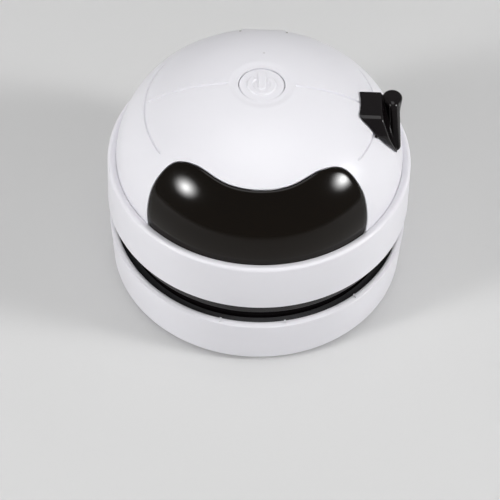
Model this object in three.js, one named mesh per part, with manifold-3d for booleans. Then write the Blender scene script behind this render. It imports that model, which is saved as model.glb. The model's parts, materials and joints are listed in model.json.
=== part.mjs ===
// Desktop mini vacuum cleaner, in millimetres.
// The origin is on the desk under the middle of the body. +Z is up, the smoked window faces -Y,
// the side port faces +X and the charging socket faces +Y.
import * as THREE from 'three';
import { mergeVertices } from 'three/addons/utils/BufferGeometryUtils.js';
import Module from 'manifold-3d';

const wasm = await Module();
wasm.setup();

// Gaps that fits share
const fitGap = 0.3;
const cutOverrun = 1;
const backDegrees = 90;
const frontDegrees = -90;

// Points of a rounded edge, as shares of its radius
const softShare = 0.3;
const leanShare = 0.6;
const lowShare = 0.15;

// Dome cover: a body of revolution with a superellipse for its profile
const domeRadius = 39.88;
const domeSpringHeight = 40.31;
const domeRise = 27.39;
const domeWall = 1.8;
const domeFootHeight = 27.9;
const domeWidthPowerShare = 0.8475;
const domeHeightPowerShare = 1.005;
const seamWidth = 0.5;
const seamDepth = 0.4;
const seamInnerMargin = 0.6;
const seamOuterInset = 10.08;
const arcSeamDrop = 9.4;
const arcSeamStartDegrees = 57.4;
const arcSeamEndDegrees = 121;

// Power button in a shallow dish on the crown
const buttonRadius = 6.35;
const buttonSink = 0.55;
const buttonCrown = 0.12;
const buttonEdgeRound = 0.35;
const buttonFlangeOverlap = 1.5;
const buttonFlangeThickness = 0.8;
const buttonTravel = 0.7;
const dishRadius = 8.7;
const dishDepth = 0.45;
const symbolRelief = 0.25;
const symbolRadius = 3.9;
const symbolLine = 1.4;
const symbolBarWidth = 2;
const symbolBarTop = 4.8;
const symbolBarLength = 6.3;
const symbolGapDegrees = 76;
const symbolEndShare = 0.45;

// Smoked window: its edge is given on the dome as shares of half its sweep and of its height
const visorHalfSweepDegrees = 49.2;
const visorFootDrop = 2.1;
const visorHeight = 20.9;
const visorThickness = 1.5;
const visorSeatWall = 1.2;
const visorSeatMargin = 1.6;
const visorRayHeight = 25;
const visorNearShare = 0.3;
const visorFarShare = 2.4;
const visorEdgeShares = [
  [0, 0.943],
  [0.3, 0.955],
  [0.61, 1],
  [0.78, 0.992],
  [0.87, 0.966],
  [0.93, 0.927],
  [0.97, 0.86],
  [0.993, 0.74],
  [1, 0.6],
  [0.99, 0.45],
  [0.97, 0.25],
  [0.945, 0.06],
  [0.92, 0],
];

// Skirt ring round the foot of the dome
const skirtLipWidth = 2.32;
const skirtFlare = 0.8;
const skirtFootHeight = 25.8;
const skirtLipRise = 1.29;
const skirtLipDrop = 0.85;
const skirtFootWall = 2;
const skirtEdgeRound = 0.5;
const skirtStep = 2.4;
const skirtLipRoundShare = 1.8;

// Black collar between the skirt and the dust box
const collarBandInset = 0.4;
const collarBandWall = 1.8;
const collarSleeveInset = 2.59;
const collarSleeveWall = 1.6;
const collarSleeveFoot = 9.5;
const collarFloorHeight = 20.2;
const collarFloorThickness = 2;
const collarEdgeRound = 0.8;
const lugReach = 1.6;
const lugThickness = 1.5;
const lugHalfDegrees = 9;
const lugCount = 4;
const lugStartDegrees = 45;
const sealDrop = 5.6;
const sealFlangeThickness = 0.9;
const sealFlangeReach = 1.3;
const exhaustSlotCount = 9;
const exhaustSlotPitchDegrees = 9;
const exhaustSlotHalfDegrees = 2.2;
const exhaustSlotHeight = 2.6;

// Dust box: the white cup that stands on the desk
const boxInset = 0.11;
const boxDraft = 0.33;
const boxRimHeight = 17.2;
const boxWall = 1.7;
const boxFootHeight = 0.6;
const boxFootRound = 2.3;
const boxFootFlatShare = 0.7;
const boxFootTurnShare = 0.2;
const boxRimBevel = 1.1;
const boxFloorHeight = 5.6;
const boxFloorThickness = 1.6;
const boxFootRingWidth = 5.5;
const ledgeReach = 2.2;
const ledgeThickness = 1.6;
const ledgeHalfDegrees = 8;
const stopSweepDegrees = 1.8;
const stopGapDegrees = 0.6;
const stopDrop = 2.1;
const sealThickness = 1.6;

// Intake: tube, brush carrier and bristles
const intakeBore = 8;
const intakeMouth = 10.5;
const intakeWall = 1.6;
const intakeFlangeReach = 3.4;
const intakeTop = 12.2;
const carrierHeight = 3.4;
const carrierThickness = 1.9;
const carrierRoof = 0.6;
const brushInset = 5.61;
const brushWidth = 4;
const brushBacking = 1.3;
const bristleClearance = 0.25;
const tuftCount = 20;
const tuftPitchGap = 1.4;
const tuftTipTaper = 0.5;
const carrierScrewCount = 3;
const carrierScrewStartDegrees = 30;
const carrierBossHeight = 3.4;

// Feet
const footRadius = 2.1;
const footInset = 4.36;
const footSink = 0.5;
const footCount = 4;
const footStartDegrees = 45;

// Filter under the fan inlet
const filterHoleRadius = 17;
const filterRadius = 22;
const filterWall = 1.4;
const filterHeight = 5.3;
const filterTopWall = 1.6;
const filterSpigotWall = 1.3;
const filterSpigotHeight = 1.7;
const filterBarWidth = 1.4;
const filterBarThickness = 0.8;
const pleatCount = 12;
const pleatThickness = 0.9;

// Fan housing, motor plate and impeller
const housingRadius = 21.3;
const housingWall = 1.3;
const housingFloor = 1.6;
const housingTopDrop = 5.31;
const fanInletRadius = 8.5;
const windowCount = 6;
const windowHalfDegrees = 16;
const windowStartDegrees = 60;
const windowMargin = 1.6;
const earStandoff = 5.7;
const earRadius = 2.4;
const earCount = 3;
const earStartDegrees = 90;
const plateThickness = 2;
const impellerTipGap = 1.7;
const impellerHubRadius = 4;
const impellerDisc = 1.2;
const impellerLowGap = 1.2;
const impellerTopGap = 1.6;
const bladeCount = 9;
const bladeThickness = 1.1;
const bladeInnerRadius = 7.5;
const bladeLeanDegrees = 42;

// Motor
const motorRadius = 12;
const motorTopGap = 3.2;
const motorBossRadius = 3.1;
const motorBossHeight = 1.2;
const motorCapRadius = 11.4;
const motorCapHeight = 1.7;
const terminalWidth = 2.2;
const terminalThickness = 0.6;
const terminalHeight = 1.9;
const terminalReach = 8;
const shaftRadius = 1;
const shaftFoot = 25.4;
const motorScrewReach = 8;

// Battery on its cradle
const cellDomeGap = 11.88;
const cellLength = 40;
const cellGap = 2;
const cellCapRadius = 2.6;
const cellCapHeight = 0.8;
const cradleWall = 1.2;
const cradleFloor = 1.5;
const cradleLengthShare = 0.52;

// Circuit board and its switch under the button
const boardDrop = 8.9;
const boardThickness = 1;
const boardLength = 36;
const boardWidth = 18;
const boardRound = 2;
const postReach = 15.5;
const postRadius = 2;
const switchWidth = 6;
const switchHeight = 2.7;
const plungerRadius = 1.6;
const plungerHeight = 2.1;

// Hood over the charging socket at the back
const hoodWidth = 12.7;
const hoodFaceInset = 3.88;
const hoodDepth = 7.5;
const hoodTopDrop = 8.2;
const hoodHeight = 11.1;
const hoodFaceHeight = 5.8;
const hoodBrowInset = 2.8;
const hoodBrowDrop = 2;
const hoodShoulderInset = 5.4;
const hoodWall = 1.3;
const socketWidth = 7.5;
const socketHeight = 2.6;
const socketDepth = 5.4;
const socketWall = 0.3;
const socketInset = 0.5;
const socketRise = 2.7;
const chargeBoardThickness = 0.8;
const chargeBoardWidth = 9;
const chargeBoardLength = 11;
const tongueThickness = 0.6;
const tongueWidth = 4.6;

// Side port, its plug and the duct behind it
const portMiddleY = -1.2;
const portRise = 5.6;
const portWidth = 8;
const portHeight = 7.2;
const portRound = 1.6;
const plugTopDrop = 5.7;
const plugHeight = 12;
const plugFront = -7;
const plugBack = 4.3;
const plugTopInset = 7.48;
const plugTipInset = 2.58;
const plugEdgeRound = 1.5;
const plugShankGap = 1.9;
const plugShankWall = 1.2;
const plugHollowDepth = 3;
const gripRadius = 2.7;
const gripInset = 4.48;
const gripMiddleY = 2.7;
const gripTipRadius = 0.75;
const gripTopShare = 0.3;
const tabLength = 2.2;
const tabReach = 1.3;
const tabHeight = 1.4;
const tabInset = 9.58;
const tabDrop = 4.2;
const ductWall = 1.2;
const ductInset = 8.38;
const ductGap = 0.6;

// Screws
const screwRadius = 0.95;
const screwHeadRadius = 1.9;
const screwHeadHeight = 1.3;
const screwBoreGap = 0.3;
const screwTipLength = 1;
const screwHeadRound = 0.5;
const slotWidth = 0.5;
const slotDepth = 0.6;
const coverBossRadius = 2.6;
const coverScrewInset = 6.38;
const coverScrewCount = 3;
const coverScrewStartDegrees = 60;
const coverScrewLength = 12;
const carrierScrewLength = 4.6;
const fanScrewDrop = 2.1;
const motorScrewLength = 4.6;
const boardScrewLength = 4;
const boreEnd = 1.2;

// Fineness of round forms
const bodySegments = 36;
const domeSteps = 6;
const innerSegments = 20;
const smallSegments = 8;
const bladeSteps = 4;
const screwSegments = 6;
const visorSteps = 22;
const visorFootSteps = 6;
const roundSteps = 3;

const white = new THREE.MeshStandardMaterial({ color: 0xe9e9ee, roughness: 0.18, metalness: 0 });
const gloss = new THREE.MeshStandardMaterial({ color: 0x0b0a0c, roughness: 0.08, metalness: 0 });
const smoke = new THREE.MeshStandardMaterial({ color: 0x12110f, roughness: 0.05, metalness: 0 });
const rubber = new THREE.MeshStandardMaterial({ color: 0x1c1c1e, roughness: 0.8, metalness: 0 });
const nylon = new THREE.MeshStandardMaterial({ color: 0x2a2a2c, roughness: 0.55, metalness: 0 });
const steel = new THREE.MeshStandardMaterial({ color: 0xb4b6ba, roughness: 0.3, metalness: 1 });
const grey = new THREE.MeshStandardMaterial({ color: 0x6f7276, roughness: 0.5, metalness: 0 });
const green = new THREE.MeshStandardMaterial({ color: 0x1f5a3a, roughness: 0.45, metalness: 0 });
const sleeve = new THREE.MeshStandardMaterial({ color: 0x2f6fb0, roughness: 0.35, metalness: 0 });
const felt = new THREE.MeshStandardMaterial({ color: 0xdedfe0, roughness: 0.9, metalness: 0 });

const radians = THREE.MathUtils.degToRad;

// Radii and reaches that follow from the sizes above
const skirtTopRadius = domeRadius + skirtLipWidth;
const skirtFootRadius = skirtTopRadius + skirtFlare;
const boxRadius = skirtFootRadius - boxInset;
const boxFootRadius = boxRadius - boxDraft;
const boxInner = boxRadius - boxWall;
const footRingInner = boxFootRadius - boxFootRingWidth - boxFootRound / 2;
const collarBandRadius = skirtFootRadius - skirtFootWall - collarBandInset;
const collarSleeveRadius = boxInner - collarSleeveInset;
const carrierOuter = footRingInner - fitGap;
const carrierInner = intakeBore + intakeWall + intakeFlangeReach + fitGap;
const brushRadius = carrierOuter - brushInset;
const carrierScrewReach = (carrierInner + brushRadius - brushWidth / 2) / 2;
const footReach = boxFootRadius - footInset;
const seamInnerReach = dishRadius + seamInnerMargin;
const seamOuterReach = domeRadius - seamOuterInset;
const coverScrewReach = domeRadius - coverScrewInset;
const cellRadius = (domeRadius - cellDomeGap - motorRadius - cellGap) / 2;
const cellReach = motorRadius + cellGap + cellRadius;
const hoodFaceReach = domeRadius - hoodFaceInset;
const hoodBackReach = hoodFaceReach - hoodDepth;
const plugTopReach = domeRadius - plugTopInset;
const plugTipReach = domeRadius - plugTipInset;
const gripReach = domeRadius - gripInset;
const tabMiddleReach = domeRadius - tabInset;
const ductOuterReach = domeRadius - ductInset;
const ductInnerReach = housingRadius + ductGap;
const plugShankEnd = ductInnerReach + ductWall + plugShankGap;
const impellerRadius = housingRadius - housingWall - impellerTipGap;
const earReach = housingRadius + earStandoff;

// Heights that follow from the sizes above
const domeTop = domeSpringHeight + domeRise;
const skirtTopHeight = domeSpringHeight + skirtLipRise;
const visorFootHeight = skirtTopHeight - visorFootDrop;
const arcSeamHeight = domeTop - arcSeamDrop;
const buttonTopHeight = domeTop - buttonSink;
const boardHeight = domeTop - boardDrop;
const hoodTopHeight = domeTop - hoodTopDrop;
const hoodFootHeight = hoodTopHeight - hoodHeight;
const socketFoot = hoodFootHeight + socketRise;
const plugTop = domeTop - plugTopDrop;
const plugFoot = plugTop - plugHeight;
const portMiddleZ = plugFoot + portRise;
const tabMiddleHeight = plugTop - tabDrop;
const collarFloorTop = collarFloorHeight + collarFloorThickness;
const sealFoot = collarFloorHeight - sealDrop;
const boardTop = boardHeight + boardThickness;
const switchTop = boardTop + fitGap + switchHeight;
const boxFloorTop = boxFloorHeight + boxFloorThickness;
const housingFoot = collarFloorTop + fitGap;
const housingTop = domeSpringHeight - housingTopDrop;
const plateFoot = housingTop + fitGap;
const plateTop = plateFoot + plateThickness;
const fanScrewEnd = collarFloorHeight - fanScrewDrop;
const fanScrewLength = plateTop + fitGap - fanScrewEnd;
const motorFoot = plateTop + fitGap;
const motorTop = boardHeight - motorTopGap;
const motorScrewSeat = plateFoot + screwHeadHeight;
const carrierScrewSeat = carrierHeight + screwHeadHeight;
const cellMiddle = plateTop + fitGap + cradleFloor + fitGap + cellRadius;
const buttonFoot = switchTop + plungerHeight / 2 + fitGap;
const plugFloorReach = plugShankEnd + plugHollowDepth;

// A closed mesh as a solid: shared corners are merged, slivers dropped and faces turned outwards
function solid(geometry) {
  const bare = geometry.index ? geometry.toNonIndexed() : geometry.clone();
  bare.deleteAttribute('normal');
  bare.deleteAttribute('uv');
  const merged = mergeVertices(bare);
  const corners = merged.attributes.position.array;
  const faces = [];
  let volume = 0;
  const a = new THREE.Vector3();
  const b = new THREE.Vector3();
  const c = new THREE.Vector3();
  for (let i = 0; i < merged.index.count; i += 3) {
    const [p, q, r] = [merged.index.getX(i), merged.index.getX(i + 1), merged.index.getX(i + 2)];
    if (p === q || q === r || r === p) continue;
    faces.push(p, q, r);
    a.fromArray(corners, p * 3);
    b.fromArray(corners, q * 3);
    c.fromArray(corners, r * 3);
    volume += a.dot(b.cross(c));
  }
  if (volume < 0) faces.reverse();
  return new wasm.Manifold(
    new wasm.Mesh({
      numProp: 3,
      vertProperties: new Float32Array(corners),
      triVerts: new Uint32Array(faces),
    }),
  );
}

function revolve(profile, segments = bodySegments) {
  const points = profile.map(([radius, height]) => new THREE.Vector2(radius, height));
  const closed = profile[0][0] > 0 ? [...points, points[0].clone()] : points;
  return solid(new THREE.LatheGeometry(closed, segments).rotateX(Math.PI / 2));
}

function prism(shape, bottom, top, curveSegments = roundSteps) {
  const settings = { depth: top - bottom, bevelEnabled: false, curveSegments };
  return solid(new THREE.ExtrudeGeometry(shape, settings).translate(0, 0, bottom));
}

function outline(points) {
  return new THREE.Shape(points.map(([x, y]) => new THREE.Vector2(x, y)));
}

function box(x0, x1, y0, y1, z0, z1) {
  return solid(
    new THREE.BoxGeometry(x1 - x0, y1 - y0, z1 - z0).translate(
      (x0 + x1) / 2,
      (y0 + y1) / 2,
      (z0 + z1) / 2,
    ),
  );
}

function rod(radius, bottom, top, x = 0, y = 0, segments = smallSegments) {
  const height = top - bottom;
  const geometry = new THREE.CylinderGeometry(radius, radius, height, segments);
  return solid(geometry.rotateX(Math.PI / 2).translate(x, y, bottom + height / 2));
}

function ring(inner, outer, bottom, top, segments = innerSegments) {
  return revolve(
    [
      [inner, bottom],
      [outer, bottom],
      [outer, top],
      [inner, top],
    ],
    segments,
  );
}

// A piece of a ring that sweeps from one azimuth to another
function sector(inner, outer, bottom, top, fromDegrees, toDegrees, steps = roundSteps) {
  const shape = new THREE.Shape();
  shape.absarc(0, 0, outer, radians(fromDegrees), radians(toDegrees), false);
  shape.absarc(0, 0, inner, radians(toDegrees), radians(fromDegrees), true);
  return prism(shape, bottom, top, steps);
}

function roundedOutline(width, height, radius, x = 0, y = 0) {
  const shape = new THREE.Shape();
  const [right, top] = [width / 2 - radius, height / 2 - radius];
  shape.absarc(x + right, y - top, radius, -Math.PI / 2, 0, false);
  shape.absarc(x + right, y + top, radius, 0, Math.PI / 2, false);
  shape.absarc(x - right, y + top, radius, Math.PI / 2, Math.PI, false);
  shape.absarc(x - right, y - top, radius, Math.PI, Math.PI * 1.5, false);
  return shape;
}

// A prism whose outline is drawn in Y and Z and which runs along X
function prismAlongX(shape, from, to) {
  return prism(shape, from, to).transform([0, 1, 0, 0, 0, 0, 1, 0, 1, 0, 0, 0, 0, 0, 0, 1]);
}

// A prism whose outline is drawn in X and Z and which runs along Y
function prismAlongY(shape, from, to) {
  return prism(shape, -to, -from).transform([1, 0, 0, 0, 0, 0, 1, 0, 0, -1, 0, 0, 0, 0, 0, 1]);
}

function around(count, make, startDegrees = 0) {
  return Array.from({ length: count }, (_, i) => {
    const degrees = startDegrees + (i * 360) / count;
    return make(degrees);
  });
}

const joined = (solids) => solids.reduce((sum, next) => sum.add(next));

// The dome's outer form, grown or shrunk by an offset, as one solid down to its foot
function domeForm(offset) {
  const steps = Array.from({ length: domeSteps + 1 }, (_, i) => (i / domeSteps) * (Math.PI / 2));
  const arc = steps.map((t) => [
    Math.max((domeRadius + offset) * Math.cos(t) ** domeWidthPowerShare, 0),
    domeSpringHeight + (domeRise + offset) * Math.sin(t) ** domeHeightPowerShare,
  ]);
  arc[domeSteps][0] = 0;
  return revolve([[0, domeFootHeight], [domeRadius + offset, domeFootHeight], ...arc]);
}

const domeOuter = domeForm(0);
const domeCavity = domeForm(-domeWall).add(
  rod(domeRadius - domeWall, domeFootHeight - cutOverrun, domeSpringHeight, 0, 0, bodySegments),
);

// The solid between two outlines of as many points, which run anticlockwise seen from the far one
function between(near, far, flat) {
  const caps = THREE.ShapeUtils.triangulateShape(flat, []);
  const faces = [];
  caps.forEach(([i, j, k]) => faces.push(far[i], far[j], far[k], near[k], near[j], near[i]));
  near.forEach((_, i) => {
    const j = (i + 1) % near.length;
    faces.push(near[i], near[j], far[j], near[i], far[j], far[i]);
  });
  const geometry = new THREE.BufferGeometry();
  geometry.setAttribute('position', new THREE.Float32BufferAttribute(faces.flat(), 3));
  return solid(geometry);
}

// The window's edge, grown outwards, as a wedge of rays from the middle of the body
function visorWedge(grow) {
  const left = visorEdgeShares.slice(1).map(([sweep, rise]) => [-sweep, rise]);
  const edge = [...visorEdgeShares.slice().reverse(), ...left];
  const corners = edge.map(
    ([sweep, rise]) =>
      new THREE.Vector2(
        sweep * radians(visorHalfSweepDegrees) * domeRadius,
        visorFootHeight + rise * visorHeight,
      ),
  );
  const smooth = new THREE.SplineCurve(corners).getSpacedPoints(visorSteps);
  const last = smooth.length - 1;
  const rim = smooth.map((point, i) => {
    const along = smooth[Math.min(i + 1, last)].clone().sub(smooth[Math.max(i - 1, 0)]).normalize();
    return new THREE.Vector2(point.x + along.y * grow, point.y - along.x * grow);
  });
  const foot = Array.from({ length: visorFootSteps - 1 }, (_, i) => {
    const share = (i + 1) / visorFootSteps;
    return new THREE.Vector2(rim[last].x + share * (rim[0].x - rim[last].x), visorFootHeight - grow);
  });
  rim[0].y -= grow;
  rim[last].y -= grow;
  const grown = [...rim, ...foot];
  const place = (point, share) => {
    const azimuth = point.x / domeRadius;
    const reach = domeReachAt(point.y) * share;
    const height = visorRayHeight + (point.y - visorRayHeight) * share;
    return [reach * Math.sin(azimuth), -reach * Math.cos(azimuth), height];
  };
  return between(
    grown.map((point) => place(point, visorNearShare)),
    grown.map((point) => place(point, visorFarShare)),
    grown,
  );
}

function domeReachAt(height) {
  const rise = Math.min(Math.max((height - domeSpringHeight) / domeRise, 0), 1);
  const t = Math.asin(rise ** (1 / domeHeightPowerShare));
  return domeRadius * Math.cos(t) ** domeWidthPowerShare;
}

// A screw with a slotted pan head, its shank pointing down from the origin
function screw(length) {
  const body = revolve(
    [
      [0, -length],
      [screwRadius, -length + screwTipLength],
      [screwRadius, 0],
      [screwHeadRadius, 0],
      [screwHeadRadius, screwHeadHeight / 2],
      [screwHeadRadius - screwHeadRound, screwHeadHeight],
      [0, screwHeadHeight],
    ],
    screwSegments,
  );
  const half = slotWidth / 2;
  const slot = box(
    -screwHeadRadius,
    screwHeadRadius,
    -half,
    half,
    screwHeadHeight - slotDepth,
    screwHeadHeight + cutOverrun,
  );
  return body.subtract(slot);
}

function screwBore(x, y, bottom, top) {
  return rod(screwRadius + screwBoreGap, bottom, top, x, y);
}

// Places spread evenly on a circle
function placesAround(count, reach, startDegrees) {
  return around(count, (degrees) => {
    const angle = radians(degrees);
    return [reach * Math.cos(angle), reach * Math.sin(angle)];
  }, startDegrees);
}

const coverScrewPlaces = placesAround(coverScrewCount, coverScrewReach, coverScrewStartDegrees);
const earPlaces = placesAround(earCount, earReach, earStartDegrees);
const carrierScrewPlaces = placesAround(carrierScrewCount, carrierScrewReach, carrierScrewStartDegrees);
const footPlaces = placesAround(footCount, footReach, footStartDegrees);

// Side port
const portOutline = (grow) =>
  roundedOutline(
    portWidth + 2 * grow,
    portHeight + 2 * grow,
    portRound + grow,
    portMiddleY,
    portMiddleZ,
  );

// Hood outline in Y and Z
const hoodProfile = [
  [hoodBackReach, hoodFootHeight],
  [hoodFaceReach, hoodFootHeight],
  [hoodFaceReach, hoodFootHeight + hoodFaceHeight],
  [hoodFaceReach - hoodBrowInset, hoodTopHeight - hoodBrowDrop],
  [hoodFaceReach - hoodShoulderInset, hoodTopHeight],
  [hoodBackReach, hoodTopHeight],
];

function makeDomeCover() {
  const seatForm = domeForm(-visorThickness - fitGap - visorSeatWall);
  const visorSeat = visorWedge(fitGap + visorSeatMargin).subtract(seatForm);
  const bosses = coverScrewPlaces.map(([x, y]) =>
    rod(coverBossRadius, collarFloorTop + fitGap, domeSpringHeight + domeRise, x, y),
  );
  const posts = [-postReach, postReach].map((x) =>
    rod(postRadius, boardTop + fitGap, domeSpringHeight + domeRise, x, 0),
  );
  const innerForm = domeForm(-domeWall / 2);
  const belowFoot = rod(
    domeRadius - domeWall,
    collarFloorTop,
    domeSpringHeight,
    0,
    0,
    bodySegments,
  );
  const hung = joined([...bosses, ...posts]).intersect(innerForm.add(belowFoot));
  const shell = domeOuter.subtract(domeCavity.subtract(visorSeat)).add(hung);
  const skin = domeForm(cutOverrun);
  const pocket = skin.subtract(domeForm(-visorThickness - fitGap)).intersect(visorWedge(fitGap));
  const seamSkin = skin.subtract(domeForm(-seamDepth));
  const high = domeTop + cutOverrun;
  const half = seamWidth / 2;
  const seams = joined([
    box(seamInnerReach, seamOuterReach, -half, half, domeSpringHeight, high),
    box(-seamOuterReach, -seamInnerReach, -half, half, domeSpringHeight, high),
  ]);
  const arcs = joined(
    [1, -1].map((side) => {
      const ends = [arcSeamStartDegrees, arcSeamEndDegrees].map((sweep) => frontDegrees + side * sweep);
      const [from, to] = side > 0 ? ends : ends.reverse();
      const [low, top] = [arcSeamHeight - half, arcSeamHeight + half];
      return sector(domeRadius / 2, domeRadius, low, top, from, to);
    }),
  );
  const dish = revolve(
    [
      [0, buttonTopHeight - dishDepth],
      [buttonRadius + fitGap, buttonTopHeight - dishDepth / 2],
      [dishRadius, domeTop - dishDepth],
      [dishRadius + cutOverrun, domeTop],
      [dishRadius + cutOverrun, domeTop + cutOverrun],
      [0, domeTop + cutOverrun],
    ],
    innerSegments,
  );
  const buttonHole = rod(
    buttonRadius + fitGap,
    boardTop,
    domeTop + cutOverrun,
    0,
    0,
    innerSegments,
  );
  const hoodHole = box(
    -hoodWidth / 2 - fitGap,
    hoodWidth / 2 + fitGap,
    hoodBackReach,
    domeRadius + cutOverrun,
    hoodFootHeight - fitGap,
    hoodTopHeight + fitGap,
  );
  const portHole = prismAlongX(portOutline(fitGap), domeRadius / 2, domeRadius + cutOverrun);
  const screwHoles = coverScrewPlaces.map(([x, y]) =>
    screwBore(x, y, collarFloorTop, collarFloorHeight + coverScrewLength + boreEnd),
  );
  const postHoles = [-postReach, postReach].map((x) =>
    screwBore(x, 0, boardTop, boardTop + boardScrewLength - boardThickness),
  );
  return shell
    .subtract(pocket)
    .subtract(seamSkin.intersect(seams.add(arcs)))
    .subtract(dish)
    .subtract(buttonHole)
    .subtract(hoodHole)
    .subtract(portHole)
    .subtract(joined([...screwHoles, ...postHoles]));
}

function makeVisor() {
  return domeOuter.subtract(domeForm(-visorThickness)).intersect(visorWedge(0));
}

function makeSkirtRing() {
  const inner = domeRadius + fitGap;
  const footInner = skirtFootRadius - skirtFootWall;
  const lipFoot = skirtTopHeight - skirtLipDrop;
  return revolve([
    [footInner, skirtFootHeight],
    [skirtFootRadius - skirtEdgeRound, skirtFootHeight],
    [skirtFootRadius, skirtFootHeight + skirtEdgeRound],
    [skirtTopRadius, lipFoot],
    [skirtTopRadius - skirtEdgeRound * leanShare, skirtTopHeight - skirtEdgeRound * leanShare],
    [skirtTopRadius - skirtEdgeRound * skirtLipRoundShare, skirtTopHeight],
    [(skirtTopRadius + inner) / 2, skirtTopHeight - skirtEdgeRound * leanShare],
    [inner, lipFoot],
    [inner, skirtFootHeight + skirtStep],
    [footInner, skirtFootHeight + skirtStep - (footInner - inner)],
  ]);
}

function makeCollar() {
  const bandInner = collarBandRadius - collarBandWall;
  const sleeveInner = collarSleeveRadius - collarSleeveWall;
  const bandTop = domeFootHeight - fitGap;
  const flangeTop = sealFoot - fitGap;
  const flangeRadius = collarSleeveRadius + sealFlangeReach;
  const body = revolve([
    [filterHoleRadius, collarFloorHeight],
    [sleeveInner, collarFloorHeight],
    [sleeveInner, collarSleeveFoot],
    [collarSleeveRadius, collarSleeveFoot],
    [collarSleeveRadius, flangeTop - sealFlangeThickness],
    [flangeRadius, flangeTop - sealFlangeThickness],
    [flangeRadius, flangeTop],
    [collarSleeveRadius, flangeTop],
    [collarSleeveRadius, collarFloorHeight],
    [collarBandRadius - collarEdgeRound, collarFloorHeight],
    [collarBandRadius, collarFloorHeight + collarEdgeRound],
    [collarBandRadius, bandTop],
    [bandInner, bandTop],
    [bandInner, collarFloorTop],
    [filterHoleRadius, collarFloorTop],
  ]);
  const lugs = around(lugCount, (degrees) =>
    sector(
      collarSleeveRadius - collarSleeveWall / 2,
      collarSleeveRadius + lugReach,
      collarSleeveFoot,
      collarSleeveFoot + lugThickness,
      degrees - lugHalfDegrees,
      degrees + lugHalfDegrees,
    ),
    lugStartDegrees,
  );
  const fanBosses = earPlaces.map(([x, y]) =>
    rod(earRadius, fanScrewEnd - boreEnd - fitGap, collarFloorTop - fitGap, x, y),
  );
  const slots = Array.from({ length: exhaustSlotCount }, (_, i) => {
    const degrees = backDegrees + (i - (exhaustSlotCount - 1) / 2) * exhaustSlotPitchDegrees;
    return sector(
      bandInner - cutOverrun,
      collarBandRadius + cutOverrun,
      collarFloorTop + fitGap,
      collarFloorTop + fitGap + exhaustSlotHeight,
      degrees - exhaustSlotHalfDegrees,
      degrees + exhaustSlotHalfDegrees,
    );
  });
  const ductHole = box(
    ductInnerReach + ductWall,
    ductOuterReach - ductWall,
    portMiddleY - portWidth / 2 - fitGap,
    portMiddleY + portWidth / 2 + fitGap,
    collarFloorHeight - cutOverrun,
    collarFloorTop + cutOverrun,
  );
  const screwHoles = coverScrewPlaces.map(([x, y]) =>
    screwBore(x, y, collarFloorHeight - cutOverrun, collarFloorTop + cutOverrun),
  );
  const fanHoles = earPlaces.map(([x, y]) =>
    screwBore(x, y, fanScrewEnd - fitGap, collarFloorTop + cutOverrun),
  );
  return joined([body, ...lugs, ...fanBosses])
    .subtract(joined([...slots, ductHole, ...screwHoles, ...fanHoles]));
}

function makeDustBox() {
  const floorSeat = boxFloorHeight - fitGap;
  const body = revolve([
    [footRingInner, floorSeat],
    [footRingInner, boxFootHeight],
    [boxFootRadius - boxFootRound * boxFootFlatShare, boxFootHeight],
    [boxFootRadius - boxFootRound * boxFootTurnShare, boxFootHeight + boxFootRound * boxFootTurnShare],
    [boxFootRadius, boxFootHeight + boxFootRound],
    [boxRadius, boxRimHeight - boxRimBevel],
    [boxRadius - boxRimBevel * softShare, boxRimHeight - boxRimBevel * softShare],
    [boxRadius - boxRimBevel, boxRimHeight],
    [boxInner, boxRimHeight],
    [boxInner, floorSeat],
  ]);
  const ledgeFoot = collarSleeveFoot + lugThickness + fitGap;
  const ledges = around(lugCount, (degrees) => {
    const stopEnd = degrees - lugHalfDegrees - stopGapDegrees;
    const stopStart = stopEnd - stopSweepDegrees;
    const inner = boxInner - ledgeReach;
    const outer = boxInner + boxWall / 2;
    const top = ledgeFoot + ledgeThickness;
    const shelf = sector(inner, outer, ledgeFoot, top, stopStart, degrees + ledgeHalfDegrees);
    return shelf.add(sector(inner, outer, ledgeFoot - stopDrop, top, stopStart, stopEnd));
  }, lugStartDegrees);
  const footPits = footPlaces.map(([x, y]) =>
    rod(
      footRadius + fitGap,
      boxFootHeight - cutOverrun,
      boxFootHeight + footSink + fitGap,
      x,
      y,
    ),
  );
  return joined([body, ...ledges]).subtract(joined(footPits));
}

// Floor of the dust box: it rests on the foot ring and carries the screw bosses
function makeBoxFloor() {
  const body = ring(
    intakeBore + intakeWall + fitGap,
    boxInner - fitGap,
    boxFloorHeight,
    boxFloorTop,
    bodySegments,
  );
  const bosses = carrierScrewPlaces.map(([x, y]) =>
    rod(coverBossRadius, boxFloorHeight, boxFloorTop + carrierBossHeight, x, y),
  );
  const bores = carrierScrewPlaces.map(([x, y]) =>
    screwBore(x, y, boxFloorHeight - cutOverrun, boxFloorTop + carrierBossHeight - boreEnd),
  );
  return joined([body, ...bosses]).subtract(joined(bores));
}

function makeBoxSeal() {
  return ring(
    collarSleeveRadius + fitGap,
    boxInner - fitGap,
    sealFoot,
    sealFoot + sealThickness,
    bodySegments,
  );
}

function makeIntakeTube() {
  const outer = intakeBore + intakeWall;
  const flangeTop = boxFloorHeight - fitGap;
  return revolve(
    [
      [intakeMouth, carrierHeight],
      [outer + intakeFlangeReach, carrierHeight],
      [outer + intakeFlangeReach, flangeTop],
      [outer, flangeTop],
      [outer, intakeTop - intakeWall / 2],
      [outer - intakeWall / 2, intakeTop],
      [intakeBore, intakeTop - intakeWall / 2],
      [intakeBore, carrierHeight + (intakeMouth - intakeBore)],
    ],
    innerSegments,
  );
}

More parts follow.
